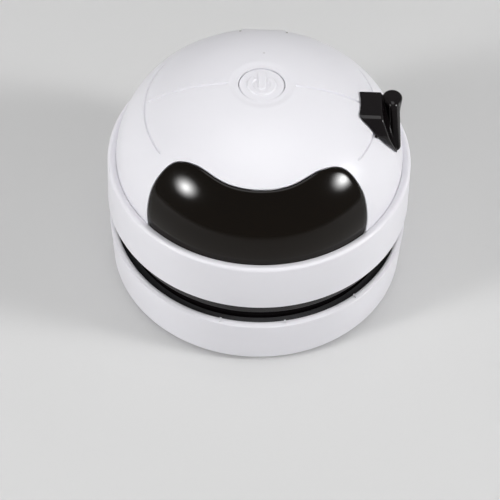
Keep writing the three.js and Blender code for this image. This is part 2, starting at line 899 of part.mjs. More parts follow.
function makeBrushCarrier() {
  const top = carrierHeight + carrierThickness;
  const groove = brushWidth / 2 + fitGap;
  const roof = top - carrierRoof;
  const body = revolve(
    [
      [carrierInner, carrierHeight],
      [brushRadius - groove, carrierHeight],
      [brushRadius - groove, roof],
      [brushRadius + groove, roof],
      [brushRadius + groove, carrierHeight],
      [carrierOuter, carrierHeight],
      [carrierOuter, top],
      [carrierInner, top],
    ],
    tuftCount,
  );
  const seats = carrierScrewPlaces.map(([x, y]) =>
    rod(screwHeadRadius + fitGap, carrierHeight - cutOverrun, carrierScrewSeat, x, y),
  );
  const bores = carrierScrewPlaces.map(([x, y]) =>
    screwBore(x, y, carrierHeight - cutOverrun, top + cutOverrun),
  );
  return body.subtract(joined([...seats, ...bores]));
}

// Tapered tufts, fused to a slice of their backing
function makeBrushRing() {
  const half = brushWidth / 2;
  const backingTop = carrierHeight + carrierThickness - carrierRoof - fitGap;
  const backingFoot = backingTop - brushBacking;
  const comb = revolve(
    [
      [brushRadius - half, backingTop],
      [brushRadius - half, backingFoot],
      [brushRadius - half + tuftTipTaper, bristleClearance],
      [brushRadius + half - tuftTipTaper, bristleClearance],
      [brushRadius + half, backingFoot],
      [brushRadius + half, backingTop],
    ],
    tuftCount,
  );
  const gaps = around(tuftCount, (degrees) =>
    box(
      brushRadius - brushWidth,
      brushRadius + brushWidth,
      -tuftPitchGap / 2,
      tuftPitchGap / 2,
      -cutOverrun,
      backingFoot,
    ).rotate([0, 0, degrees]),
  );
  return comb.subtract(joined(gaps));
}

function makeFoot() {
  return revolve(
    [
      [0, 0],
      [footRadius - footRadius * lowShare, 0],
      [footRadius, footRadius * lowShare],
      [footRadius, boxFootHeight + footSink],
      [0, boxFootHeight + footSink],
    ],
    smallSegments,
  );
}

function makeFilterFrame() {
  const top = collarFloorHeight - fitGap;
  const foot = top - filterHeight;
  const spigot = filterHoleRadius - fitGap;
  const body = revolve(
    [
      [spigot - filterSpigotWall, top + filterSpigotHeight],
      [spigot - filterSpigotWall, top - filterTopWall],
      [filterRadius - filterWall, top - filterTopWall],
      [filterRadius - filterWall, foot],
      [filterRadius, foot],
      [filterRadius, top],
      [spigot, top],
      [spigot, top + filterSpigotHeight],
    ],
    innerSegments,
  );
  const reach = filterRadius - filterWall / 2;
  const half = filterBarWidth / 2;
  const bars = box(-reach, reach, -half, half, foot, foot + filterBarThickness).add(
    box(-half, half, -reach, reach, foot, foot + filterBarThickness),
  );
  return body.add(bars);
}

// A pleated sheet: a zigzag of even thickness, trimmed to a disc
function makeFilterPleats() {
  const foot = collarFloorHeight - fitGap - filterHeight + filterBarThickness + fitGap;
  const top = collarFloorHeight - fitGap - filterTopWall - fitGap;
  const reach = filterRadius;
  const pitch = (2 * reach) / pleatCount;
  const low = [];
  const high = [];
  for (let i = 0; i <= pleatCount * 2; i += 1) {
    const x = -reach + (i * pitch) / 2;
    const lift = i % 2 === 0 ? 0 : top - foot - pleatThickness;
    low.push([x, foot + lift]);
    high.push([x, foot + lift + pleatThickness]);
  }
  const zigzag = prismAlongY(outline([...low, ...high.reverse()]), -reach, reach);
  const disc = rod(
    filterRadius - filterWall - fitGap,
    foot - cutOverrun,
    top + cutOverrun,
    0,
    0,
    innerSegments,
  );
  return zigzag.intersect(disc);
}

function ears(bottom, top) {
  const lug = rod(earRadius, bottom, top, earReach);
  const arm = box(housingRadius - housingWall, earReach, -earRadius, earRadius, bottom, top);
  const ear = lug.add(arm);
  return around(earCount, (degrees) => ear.rotate([0, 0, degrees]), earStartDegrees);
}

function makeFanHousing() {
  const top = housingTop;
  const body = revolve(
    [
      [fanInletRadius, housingFoot],
      [housingRadius, housingFoot],
      [housingRadius, top],
      [housingRadius - housingWall, top],
      [housingRadius - housingWall, housingFoot + housingFloor],
      [fanInletRadius + housingFloor / 2, housingFoot + housingFloor],
      [fanInletRadius, housingFoot + housingFloor / 2],
    ],
    innerSegments,
  );
  const windows = around(
    windowCount,
    (degrees) =>
      sector(
        housingRadius - housingWall - cutOverrun,
        housingRadius + cutOverrun,
        housingFoot + housingFloor + windowMargin,
        top - windowMargin,
        degrees - windowHalfDegrees,
        degrees + windowHalfDegrees,
      ),
    windowStartDegrees,
  );
  const bores = earPlaces.map(([x, y]) => screwBore(x, y, housingFoot - cutOverrun, top + cutOverrun));
  return joined([body, ...ears(housingFoot, top)])
    .subtract(joined([...windows, ...bores]));
}

function makeMotorPlate() {
  const disc = rod(housingRadius, plateFoot, plateTop, 0, 0, innerSegments);
  const hub = rod(
    motorBossRadius + fitGap,
    plateFoot - cutOverrun,
    plateTop + cutOverrun,
  );
  const bores = [
    ...earPlaces.map(([x, y]) => screwBore(x, y, plateFoot - cutOverrun, plateTop + cutOverrun)),
    ...[-motorScrewReach, motorScrewReach].map((x) =>
      screwBore(x, 0, plateFoot - cutOverrun, plateTop + cutOverrun)),
    ...[-motorScrewReach, motorScrewReach].map((x) =>
      rod(screwHeadRadius + fitGap, plateFoot - cutOverrun, motorScrewSeat, x, 0)),
  ];
  return joined([disc, ...ears(plateFoot, plateTop)]).subtract(joined([hub, ...bores]));
}

function makeImpeller() {
  const foot = housingFoot + housingFloor + impellerLowGap;
  const top = plateFoot - impellerTopGap;
  const disc = rod(impellerRadius, top - impellerDisc, top, 0, 0, innerSegments);
  const hub = revolve(
    [
      [0, foot],
      [impellerHubRadius * leanShare, foot],
      [impellerHubRadius, foot + impellerHubRadius],
      [impellerHubRadius, top],
      [0, top],
    ],
    smallSegments,
  );
  const lean = radians(bladeLeanDegrees);
  const half = bladeThickness / 2;
  const spine = Array.from({ length: bladeSteps + 1 }, (_, i) => {
    const share = i / bladeSteps;
    const reach = bladeInnerRadius + share * (impellerRadius - bladeThickness - bladeInnerRadius);
    return new THREE.Vector2(reach, 0).rotateAround(new THREE.Vector2(), -lean * share * share);
  });
  const edge = (side) => spine.map((point, i) => {
    const before = spine[Math.max(i - 1, 0)];
    const after = spine[Math.min(i + 1, bladeSteps)];
    const along = after.clone().sub(before).normalize();
    return [point.x - along.y * half * side, point.y + along.x * half * side];
  });
  const blade = prism(outline([...edge(1), ...edge(-1).reverse()]), foot, top - impellerDisc / 2);
  const blades = around(bladeCount, (degrees) => blade.rotate([0, 0, degrees]));
  const bore = rod(shaftRadius + fitGap, foot - cutOverrun, top + cutOverrun);
  return joined([disc, hub, ...blades]).subtract(bore);
}

function makeShaft() {
  const top = motorTop + fitGap + motorCapHeight - fitGap;
  return rod(shaftRadius, shaftFoot, top);
}

function makeMotorCan() {
  const body = revolve(
    [
      [shaftRadius + fitGap, motorFoot - motorBossHeight],
      [motorBossRadius, motorFoot - motorBossHeight],
      [motorBossRadius, motorFoot],
      [motorRadius - motorBossHeight / 2, motorFoot],
      [motorRadius, motorFoot + motorBossHeight / 2],
      [motorRadius, motorTop],
      [shaftRadius + fitGap, motorTop],
    ],
    innerSegments,
  );
  const bores = [-motorScrewReach, motorScrewReach].map((x) =>
    screwBore(x, 0, motorFoot - cutOverrun, motorScrewSeat + motorScrewLength + boreEnd));
  return body.subtract(joined(bores));
}

function makeMotorCap() {
  const foot = motorTop + fitGap;
  const cap = revolve(
    [
      [shaftRadius + fitGap, foot],
      [motorCapRadius, foot],
      [motorCapRadius - motorCapHeight * leanShare, foot + motorCapHeight],
      [shaftRadius + fitGap, foot + motorCapHeight],
    ],
    innerSegments,
  );
  const half = terminalWidth / 2;
  const tabs = [-1, 1].map((side) =>
    box(
      -half,
      half,
      side * terminalReach - terminalThickness / 2,
      side * terminalReach + terminalThickness / 2,
      foot + motorCapHeight / 2,
      foot + terminalHeight,
    ));
  return joined([cap, ...tabs]);
}

function makeBatteryCell() {
  const long = cellLength / 2;
  const round = cellCapHeight / 2;
  const body = new THREE.LatheGeometry(
    [
      [0, -long],
      [cellRadius - round, -long],
      [cellRadius, -long + round],
      [cellRadius, long - cellCapHeight - round],
      [cellRadius - round, long - cellCapHeight],
      [cellCapRadius, long - cellCapHeight],
      [cellCapRadius, long],
      [0, long],
    ].map(([x, y]) => new THREE.Vector2(x, y)),
    innerSegments / 2,
  );
  return solid(body);
}

function makeBatteryCradle() {
  const width = cellRadius + fitGap + cradleWall;
  const half = (cellLength * cradleLengthShare) / 2;
  const foot = plateTop + fitGap;
  const block = box(-cellReach - width, -cellReach + width, -half, half, foot, cellMiddle);
  const bore = solid(
    new THREE.CylinderGeometry(
      cellRadius + fitGap,
      cellRadius + fitGap,
      cellLength + cutOverrun,
      innerSegments / 2,
    ).translate(-cellReach, 0, cellMiddle),
  );
  const motorRoom = rod(
    motorRadius + fitGap * 2,
    foot - cutOverrun,
    cellMiddle + cutOverrun,
    0,
    0,
    innerSegments,
  );
  return block.subtract(bore).subtract(motorRoom);
}

function makeCircuitBoard() {
  const shape = roundedOutline(boardLength, boardWidth, boardRound);
  const bores = [-postReach, postReach].map((x) =>
    screwBore(x, 0, boardHeight - cutOverrun, boardTop + cutOverrun));
  return prism(shape, boardHeight, boardTop).subtract(joined(bores));
}

function makeTactSwitch() {
  const half = switchWidth / 2;
  const body = box(-half, half, -half, half, boardTop + fitGap, switchTop);
  const mouth = rod(
    plungerRadius + fitGap,
    switchTop - plungerHeight / 2 - buttonTravel - fitGap,
    switchTop + cutOverrun,
  );
  return body.subtract(mouth);
}

function makePlunger() {
  const foot = switchTop - plungerHeight / 2;
  return rod(plungerRadius, foot, foot + plungerHeight);
}

// The round cap with its flange, and a generic power symbol raised on its top
function makePowerButton() {
  const flangeRadius = buttonRadius + buttonFlangeOverlap;
  const foot = buttonFoot;
  const flangeTop = foot + buttonFlangeThickness;
  const cap = revolve(
    [
      [0, foot],
      [flangeRadius, foot],
      [flangeRadius, flangeTop],
      [buttonRadius, flangeTop],
      [buttonRadius, buttonTopHeight - buttonCrown - buttonEdgeRound],
      [
        buttonRadius - buttonEdgeRound * softShare,
        buttonTopHeight - buttonCrown - buttonEdgeRound * softShare,
      ],
      [buttonRadius - buttonEdgeRound, buttonTopHeight - buttonCrown],
      [0, buttonTopHeight],
    ],
    innerSegments,
  );
  const top = buttonTopHeight + symbolRelief;
  const root = buttonTopHeight - buttonCrown - symbolRelief;
  const half = symbolGapDegrees / 2;
  const arc = sector(
    symbolRadius - symbolLine,
    symbolRadius,
    root,
    top,
    backDegrees + half,
    backDegrees + 360 - half,
    smallSegments,
  );
  const bar = prism(
    roundedOutline(
      symbolBarWidth,
      symbolBarLength,
      symbolBarWidth * symbolEndShare,
      0,
      symbolBarTop - symbolBarLength / 2,
    ),
    root,
    top,
  );
  return joined([cap, arc, bar]);
}

function makeChargeHood() {
  const width = hoodWidth / 2;
  const outer = prismAlongX(outline(hoodProfile), -width, width);
  const inner = hoodProfile.map(([y, z]) => [y - hoodWall, z - hoodWall]);
  inner[0] = [hoodBackReach - cutOverrun, hoodFootHeight + hoodWall];
  inner[1] = [hoodFaceReach - hoodWall, hoodFootHeight + hoodWall];
  inner[hoodProfile.length - 1] = [hoodBackReach - cutOverrun, hoodTopHeight - hoodWall];
  const cavity = prismAlongX(outline(inner), -width + hoodWall, width - hoodWall);
  const mouthShape = roundedOutline(
    socketWidth + 2 * fitGap,
    socketHeight + 2 * fitGap,
    2 * fitGap,
    0,
    socketFoot + socketHeight / 2,
  );
  const mouth = prismAlongY(
    mouthShape,
    hoodFaceReach - hoodWall - cutOverrun,
    hoodFaceReach + cutOverrun,
  );
  return outer.subtract(cavity).subtract(mouth);
}

function makeChargeSocket() {
  const width = socketWidth / 2;
  const face = hoodFaceReach - socketInset;
  const shell = box(-width, width, face - socketDepth, face, socketFoot, socketFoot + socketHeight);
  const room = box(
    -width + socketWall,
    width - socketWall,
    face - socketDepth + socketWall * 3,
    face + cutOverrun,
    socketFoot + socketWall,
    socketFoot + socketHeight - socketWall,
  );
  const half = tongueWidth / 2;
  const tongueFoot = socketFoot + (socketHeight - tongueThickness) / 2;
  const tongue = box(
    -half,
    half,
    face - socketDepth + socketWall,
    face - socketWall * 3,
    tongueFoot,
    tongueFoot + tongueThickness,
  );
  return shell.subtract(room).add(tongue);
}

function makeChargeBoard() {
  const half = chargeBoardWidth / 2;
  const top = socketFoot - fitGap;
  const back = hoodFaceReach - hoodWall - fitGap;
  return box(-half, half, back - chargeBoardLength, back, top - chargeBoardThickness, top);
}

function makeNozzleDuct() {
  const left = portMiddleY - portWidth / 2 - fitGap;
  const right = portMiddleY + portWidth / 2 + fitGap;
  const low = portMiddleZ - portHeight / 2 - fitGap;
  const high = portMiddleZ + portHeight / 2 + fitGap;
  const down = box(
    ductInnerReach,
    ductOuterReach,
    left - ductWall,
    right + ductWall,
    housingFoot,
    high + ductWall,
  );
  const across = box(
    ductInnerReach,
    domeRadius,
    left - ductWall,
    right + ductWall,
    low - ductWall,
    high + ductWall,
  );
  const room = domeForm(-domeWall - fitGap).add(
    rod(domeRadius - domeWall - fitGap, housingFoot - cutOverrun, domeSpringHeight, 0, 0, bodySegments),
  );
  const shaftWay = box(
    ductInnerReach + ductWall,
    ductOuterReach - ductWall,
    left,
    right,
    housingFoot - cutOverrun,
    high,
  );
  const portWay = prismAlongX(portOutline(fitGap), ductInnerReach + ductWall, domeRadius);
  return down.add(across).intersect(room).subtract(shaftWay).subtract(portWay);
}

// The grip in plan: a round back end whose sides run as tangents to a small round tip
function gripOutline(tipX, tipY) {
  const points = [];
  const dx = gripReach - tipX;
  const dy = gripMiddleY - tipY;
  const distance = Math.hypot(dx, dy);
  const spread = Math.acos((gripRadius - gripTipRadius) / distance);
  const back = Math.atan2(-dy, -dx);
  for (let i = 0; i <= smallSegments; i += 1) {
    const angle = back + spread + (i / smallSegments) * 2 * (Math.PI - spread);
    points.push([gripReach + gripRadius * Math.cos(angle), gripMiddleY + gripRadius * Math.sin(angle)]);
  }
  for (let i = 0; i <= roundSteps; i += 1) {
    const angle = back - spread + (i / roundSteps) * 2 * spread;
    points.push([tipX + gripTipRadius * Math.cos(angle), tipY + gripTipRadius * Math.sin(angle)]);
  }
  return points;
}

function makePortPlug() {
  const profile = outline([
    [domeRadius / 2, plugFoot],
    [plugTipReach, plugFoot],
    [plugTopReach, plugTop],
    [domeRadius / 2, plugTop],
  ]);
  const block = prismAlongY(profile, plugFront, plugBack);
  const corner = box(
    domeRadius / 2 - cutOverrun,
    domeRadius,
    plugFront - cutOverrun,
    plugFront + plugEdgeRound,
    plugTop - plugEdgeRound,
    plugTop + cutOverrun,
  ).subtract(
    solid(
      new THREE.CylinderGeometry(plugEdgeRound, plugEdgeRound, domeRadius * 2, smallSegments)
        .rotateZ(Math.PI / 2)
        .translate(domeRadius, plugFront + plugEdgeRound, plugTop - plugEdgeRound),
    ),
  );
  const topTip = gripMiddleY + gripTopShare * (plugFront - gripMiddleY);
  const low = gripOutline(plugTipReach - gripTipRadius, plugFront + gripTipRadius);
  const high = gripOutline(gripReach, topTip);
  const grip = between(
    low.map(([x, y]) => [x, y, plugFoot]),
    high.map(([x, y]) => [x, y, plugTop]),
    low.map(([x, y]) => new THREE.Vector2(x, y)),
  );
  const half = tabLength / 2;
  const tab = box(
    tabMiddleReach - half,
    tabMiddleReach + half,
    plugFront - tabReach,
    plugFront + tabReach,
    tabMiddleHeight - tabHeight / 2,
    tabMiddleHeight + tabHeight / 2,
  );
  const outside = domeForm(fitGap).add(
    rod(domeRadius + fitGap, domeFootHeight, domeSpringHeight, 0, 0, bodySegments),
  );
  const head = joined([block.subtract(corner), grip, tab]).subtract(outside);
  const shank = prismAlongX(portOutline(0), plugShankEnd, plugTipReach);
  const inside = shank.intersect(domeForm(plugShankWall));
  const hollow = prismAlongX(portOutline(-plugShankWall), plugShankEnd - cutOverrun, plugFloorReach);
  return head.add(inside).subtract(hollow);
}

function piece(name, form, material) {
  const { numProp, vertProperties, triVerts } = form.getMesh();
  const geometry = new THREE.BufferGeometry();
  const places = new Float32Array((vertProperties.length / numProp) * 3);
  for (let i = 0; i < places.length / 3; i += 1) {
    places.set(vertProperties.subarray(i * numProp, i * numProp + 3), i * 3);
  }
  geometry.setAttribute('position', new THREE.BufferAttribute(places, 3));
  geometry.setIndex([...triVerts]);
  geometry.computeVertexNormals();
  const mesh = new THREE.Mesh(geometry, material);
  mesh.name = name;
  return mesh;
}

function copyAt(name, form, material, x, y, z, turned = false) {
  const mesh = piece(name, form, material);
  mesh.position.set(x, y, z);
  if (turned) mesh.rotation.x = Math.PI;
  return mesh;
}

const upperBody = new THREE.Group();
upperBody.add(
  piece('dome_cover', makeDomeCover(), white),
  piece('visor', makeVisor(), smoke),
  piece('skirt_ring', makeSkirtRing(), white),
  piece('collar', makeCollar(), gloss),
  piece('box_seal', makeBoxSeal(), rubber),
  piece('filter_frame', makeFilterFrame(), grey),
  piece('filter_pleats', makeFilterPleats(), felt),
  piece('fan_housing', makeFanHousing(), grey),
  piece('motor_plate', makeMotorPlate(), grey),
  piece('motor_can', makeMotorCan(), steel),
  piece('motor_cap', makeMotorCap(), nylon),
  piece('battery_cradle', makeBatteryCradle(), nylon),
  copyAt('battery_cell', makeBatteryCell(), sleeve, -cellReach, 0, cellMiddle),
  piece('circuit_board', makeCircuitBoard(), green),
  piece('tact_switch', makeTactSwitch(), nylon),
  piece('charge_hood', makeChargeHood(), white),
  piece('charge_socket', makeChargeSocket(), steel),
  piece('charge_board', makeChargeBoard(), green),
  piece('nozzle_duct', makeNozzleDuct(), nylon),
);

const coverScrew = screw(coverScrewLength);
coverScrewPlaces.forEach(([x, y], i) => {
  const z = collarFloorHeight - fitGap;
  upperBody.add(copyAt(`cover_screw_${i + 1}`, coverScrew, steel, x, y, z, true));
});
const fanScrew = screw(fanScrewLength);
earPlaces.forEach(([x, y], i) => {
  upperBody.add(copyAt(`fan_screw_${i + 1}`, fanScrew, steel, x, y, plateTop + fitGap));
});
const motorScrew = screw(motorScrewLength);
const boardScrew = screw(boardScrewLength);
[-1, 1].forEach((side, i) => {
  const motorX = side * motorScrewReach;
  const boardX = side * postReach;
  upperBody.add(
    copyAt(`motor_screw_${i + 1}`, motorScrew, steel, motorX, 0, motorScrewSeat - fitGap, true),
    copyAt(`board_screw_${i + 1}`, boardScrew, steel, boardX, 0, boardHeight - fitGap, true),
  );
});

const button = new THREE.Group();
button.add(
  piece('power_button', makePowerButton(), white),
  piece('switch_plunger', makePlunger(), nylon),
);

const rotor = new THREE.Group();
rotor.add(piece('impeller', makeImpeller(), grey), piece('motor_shaft', makeShaft(), steel));

const plug = new THREE.Group();
plug.add(piece('port_plug', makePortPlug(), gloss));

const dustBox = new THREE.Group();
dustBox.add(
  piece('dust_box', makeDustBox(), white),
  piece('box_floor', makeBoxFloor(), white),
  piece('intake_tube', makeIntakeTube(), grey),
  piece('brush_carrier', makeBrushCarrier(), nylon),
  piece('brush_ring', makeBrushRing(), nylon),
);
const foot = makeFoot();
footPlaces.forEach(([x, y], i) => {
  dustBox.add(copyAt(`foot_${i + 1}`, foot, rubber, x, y, 0));
});
const carrierScrew = screw(carrierScrewLength);
carrierScrewPlaces.forEach(([x, y], i) => {
  const z = carrierScrewSeat - fitGap;
  dustBox.add(copyAt(`carrier_screw_${i + 1}`, carrierScrew, steel, x, y, z, true));
});

const vacuumCleaner = new THREE.Group();
vacuumCleaner.add(upperBody, button, rotor, plug, dustBox);

export default vacuumCleaner;
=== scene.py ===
"""Desktop mini vacuum cleaner: the finish of its pieces, the camera and the studio round them."""
import json
import math

import bmesh
import bpy
import numpy as np
from bpy.props import FloatProperty, FloatVectorProperty, IntProperty, PointerProperty
from mathutils import Matrix, Vector


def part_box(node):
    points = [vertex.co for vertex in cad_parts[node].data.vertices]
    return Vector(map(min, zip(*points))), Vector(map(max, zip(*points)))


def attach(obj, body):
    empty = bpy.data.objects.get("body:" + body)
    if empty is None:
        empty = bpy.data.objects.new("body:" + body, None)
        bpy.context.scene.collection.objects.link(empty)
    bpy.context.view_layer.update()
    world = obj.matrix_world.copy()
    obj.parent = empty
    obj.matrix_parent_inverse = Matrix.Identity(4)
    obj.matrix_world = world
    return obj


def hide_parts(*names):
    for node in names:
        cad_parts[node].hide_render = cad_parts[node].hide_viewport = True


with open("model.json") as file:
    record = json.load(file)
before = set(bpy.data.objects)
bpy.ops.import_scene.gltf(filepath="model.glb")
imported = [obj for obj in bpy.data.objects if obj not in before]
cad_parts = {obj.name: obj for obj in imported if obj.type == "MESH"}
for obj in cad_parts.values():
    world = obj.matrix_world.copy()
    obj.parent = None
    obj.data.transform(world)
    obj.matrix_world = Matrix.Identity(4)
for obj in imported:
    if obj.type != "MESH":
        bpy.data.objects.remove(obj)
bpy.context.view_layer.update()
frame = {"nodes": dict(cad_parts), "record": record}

bl_info = {
    "name": "Desktop mini vacuum cleaner",
    "version": (1, 0, 0),
    "blender": (4, 5, 0),
    "location": "3D View > Sidebar > Vacuum",
    "description": "Builds the finished pieces of a domed desktop vacuum cleaner round its frame",
    "category": "Object",
}

MM = 0.001


def row_mm(*values):
    """Numbers given in millimetres, as metres."""
    return tuple(value * MM for value in values)


def in_mm(*rows):
    """Rows of numbers given in millimetres, as metres."""
    return [row_mm(*row) for row in rows]


FIT_GAP = 0.3 * MM
OVERRUN = 1 * MM
BODY_SEGMENTS = 192
INNER_SEGMENTS = 96
SMALL_SEGMENTS = 32
FILLET_STEPS = 6

# Angles over which an edge is shaded sharp: a usual piece, a gently curved one, a melted one
SHARP_OVER, CURVED_SHARP_OVER, MELTED_SHARP_OVER = math.radians(28), math.radians(50), math.radians(60)

# Dome: a body of revolution with a superellipse for its profile
DOME_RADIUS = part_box("dome_cover")[1].x
DOME_FOOT = 27.9 * MM
DOME_SPRING = 40.31 * MM
DOME_RISE = 27.39 * MM
DOME_WALL = 1.8 * MM
WIDTH_POWER = 0.8475
HEIGHT_POWER = 1.005
QUARTER_TURN = math.pi / 2

# Outline of the window: shares of half its sweep and of its height above its foot
WINDOW_HALF_SWEEP = math.radians(49.2)
WINDOW_FOOT = 39.5 * MM
WINDOW_HEIGHT = 20.9 * MM
WINDOW_THICKNESS = 1.5 * MM
WINDOW_EDGE_ROUND = 0.35 * MM
WINDOW_EDGE_SHARES = [
    (0, 0.943), (0.3, 0.955), (0.61, 1), (0.78, 0.992), (0.87, 0.966), (0.93, 0.927), (0.97, 0.86),
    (0.993, 0.74), (1, 0.6), (0.99, 0.45), (0.97, 0.25), (0.945, 0.06), (0.92, 0),
]
WINDOW_MIDDLE_SHARE = 0.45
WINDOW_ROUND_SPAN = 0.3 * WINDOW_HEIGHT
WINDOW_RISE = 0.02 * MM
WINDOW_RINGS = 40
SPLINE_STEPS = 8
POCKET_ROUND = 0.05 * MM
SEAT_WIDTH = 1.9 * MM
SEAT_DEPTH = 1.5 * MM
SEAT_ROUND = 0.2 * MM
SEAT_RINGS = 14

# Seams and the dish round the button; the seams' lines are distances from the crown seam
SEAM_INNER = 9.3 * MM
SEAM_OUTER = 29.8 * MM
SEAM_LINES = row_mm(0.05, 0.1, 0.15, 0.2, 0.25, 0.3, 0.4, 0.6)
ARC_SEAM_HEIGHT = 58.3 * MM
ARC_SEAM_SWEEP = (math.radians(57.4), math.radians(121))
ARC_SEAM_END = math.radians(0.6)
SEAM_BAND = 0.5 * MM
SEAM_RINGS = 13
SEAM_FLOOR_SHARE = 0.3
LEAST_SLOPE = 0.05
DISH_RADIUS = 8.7 * MM
DISH_BAND = DISH_RADIUS + 1 * MM
DISH_SLOPE = (DISH_RADIUS - 1.6 * MM, DISH_RADIUS + 0.3 * MM)
DISH_RINGS = 18

# Button
BUTTON_RADIUS = 6.1 * MM
BUTTON_TOP = 67.15 * MM
BUTTON_CROWN = 0.12 * MM
BUTTON_EDGE_ROUND = 0.3 * MM
BUTTON_FOOT = 64.15 * MM
BUTTON_FLANGE_TOP = 64.95 * MM
BUTTON_FLANGE_RADIUS = 7.85 * MM
BUTTON_EDGE_TOP = BUTTON_TOP - 0.11 * MM
BUTTON_RINGS = 90
BUTTON_COLUMNS = 240
SIGN_RADIUS = 3.1 * MM
SIGN_RING_HALF = 0.7 * MM
SIGN_GAP_HALF = math.radians(38)
SIGN_BAR_LOW = -0.7 * MM
SIGN_BAR_HIGH = 4 * MM
SIGN_BAR_HALF = 1.0 * MM
SIGN_SLOPE = 0.35 * MM

# Hood over the charging socket: its profile and the low and high corners of its hole, in Y and Z
HOOD_HALF_WIDTH = 6.35 * MM
HOOD_WALL = 1.3 * MM
HOOD_GAP = 0.4 * MM
HOOD_EDGE_ROUND = 0.6 * MM
HOOD_OPEN_Y = 27 * MM
HOOD_PROFILE = in_mm((28.2, 48.4), (36, 48.4), (36, 53.6), (32.7, 56.95), (29.9, 58.9), (28.2, 58.9))
HOOD_HOLE = in_mm((28.3, 48.1), (45, 59.4))
SOCKET_Z = 52.4 * MM
SOCKET_WIDTH = 7.5 * MM
SOCKET_HEIGHT = 2.6 * MM
SOCKET_WALL = 0.3 * MM
SOCKET_BACK = 0.5 * MM
SOCKET_ROUND, SOCKET_INNER_ROUND, MOUTH_ROUND = row_mm(0.7, 0.5, 0.6)
MOUTH_SPAN = row_mm(33, 37)
TONGUE_HALF_WIDTH = 2.3 * MM
TONGUE_HALF_HEIGHT = 0.3 * MM
TONGUE_INSETS = row_mm(0.2, 0.8)

# Side port and the plug in it; the plug's face is drawn in Y and Z
PORT_WIDTH = 8 * MM
PORT_HEIGHT = 7.2 * MM
PORT_ROUND = 1.6 * MM
PORT_Y = -1.2 * MM
PORT_Z = 55.6 * MM
PORT_END = 45 * MM
PLUG_FOOT = 50.3 * MM
PLUG_TOP = 62.2 * MM
PLUG_ROOT_REACH = 20 * MM
PLUG_TOP_REACH = 32.2 * MM
PLUG_TIP_REACH = 37.4 * MM
PLUG_FACE = in_mm((4, 50.3, 0), (-7.3, 50.3, 0), (-7.6, 51.4, 2), (-8.7, 55, 3), (-8.7, 58, 2.5),
                  (-5.8, 62.2, 2.4), (4, 62.2, 0.4))
PLUG_FACE_SPAN = row_mm(18, 42)
PLUG_HALF_WIDTH = 12 * MM
PLUG_EDGE_ROUND = 0.8 * MM
PLUG_VOXEL = 0.14 * MM
PLUG_SMOOTHING = 5
PLUG_TAB = in_mm((29.4, -9.3, 57.3), (31.2, -8, 58.5))
SHANK_SPAN = row_mm(25, 33.6)
SHANK_WALL = 1.2 * MM
SHANK_COVER = 1.2 * MM
HOLLOW_END = 28 * MM
GRIP_RADIUS = 2.75 * MM
GRIP_REACH = 35.25 * MM
GRIP_Y = 2.8 * MM
GRIP_EDGE_ROUND = 1.15 * MM
GRIP_BEVEL_ANGLE = math.radians(55)
GRIP_TIP_RADIUS = 1.5 * MM
GRIP_TIP = Vector((36.9, -5.6)) * MM
GRIP_TOP_SHARE = 0.2
GRIP_HEAD_STEPS = 40
GRIP_TIP_STEPS = 16

# Sections of the turned pieces: corners of radius, height and rounding
SKIRT_SECTION = in_mm(
    (41, 25.8, 0.3), (43, 25.8, 0.5), (42.2, 41.6, 0.9), (39.95, 40.75, 0.2), (39.95, 39.9, 0),
    (40.18, 39.4, 0), (40.18, 28.2, 0), (41, 27.4, 0))
COLLAR_SECTION = in_mm(
    (17, 20.2, 0), (37, 20.2, 0), (37, 9.5, 0.3), (38.6, 9.5, 0.3), (38.6, 13.4, 0), (39.9, 13.4, 0.2),
    (39.9, 14.3, 0.2), (38.6, 14.3, 0), (38.6, 20.2, 0), (40.6, 20.2, 0.9), (40.6, 27.6, 0.3),
    (38.8, 27.6, 0.3), (38.8, 22.2, 0), (17, 22.2, 0))
CUP_SECTION = in_mm(
    (35.91, 5.3, 0), (35.91, 0.6, 0.3), (41.2, 0.6, 0.8), (42.56, 2.4, 1.1), (42.89, 16.75, 0.3),
    (41.9, 17.2, 0.3), (41.19, 17.2, 0.2), (41.19, 5.3, 0))
FLOOR_SECTION = in_mm((9.9, 5.6, 0), (40.89, 5.6, 0), (40.89, 7.2, 0.3), (9.9, 7.2, 0.3))
SEAL_SECTION = in_mm((38.9, 14.6, 0.3), (40.89, 14.6, 0.5), (40.89, 16.2, 0.5), (38.9, 16.2, 0.3))
TUBE_SECTION = in_mm(
    (10.5, 3.4, 0.4), (13, 3.4, 0.3), (13, 5.3, 0.2), (9.6, 5.3, 0.4), (9.6, 12.2, 0.7),
    (8, 12.2, 0.7), (8, 5.9, 1.2))
CARRIER_SECTION = in_mm(
    (13.3, 3.4, 0.3), (27.7, 3.4, 0.3), (27.7, 4.7, 0), (32.3, 4.7, 0), (32.3, 3.4, 0.3),
    (35.61, 3.4, 0.3), (35.61, 5.3, 0), (13.3, 5.3, 0))
BRUSH_SECTION = in_mm((28, 3.1, 0.2), (32, 3.1, 0.2), (32, 4.4, 0), (28, 4.4, 0))
FOOT_SECTION = in_mm((0, 0, 0), (2.1, 0, 0.35), (2.1, 1.1, 0.1), (0, 1.1, 0))

# Blocks on an arc: inner and outer radius, foot and top
LUG, SLOT, SHELF, TOOTH, RIB = in_mm(
    (37.8, 40.2, 9.5, 11), (37.8, 41.6, 22.5, 25.1), (38.99, 42, 11.3, 12.9), (38.99, 42, 9.2, 12.9),
    (41.25, 42.4, 16.6, 17.55))
LUG_HALF_SWEEP = math.radians(9)
SLOT_HALF_SWEEP = math.radians(2.2)
SLOT_COUNT = 9
SLOT_START = math.radians(54)
SLOT_PITCH = math.radians(9)
SHELF_START, TOOTH_END, SHELF_END = math.radians(-11.4), math.radians(-9.6), math.radians(8)
RIB_HALF_SWEEP = math.radians(0.35)
RIB_AZIMUTHS = (-12.6, 12, 42)
DUCT_SPACE = in_mm((23.1, -5.5, 19), (30.3, 3.1, 24))


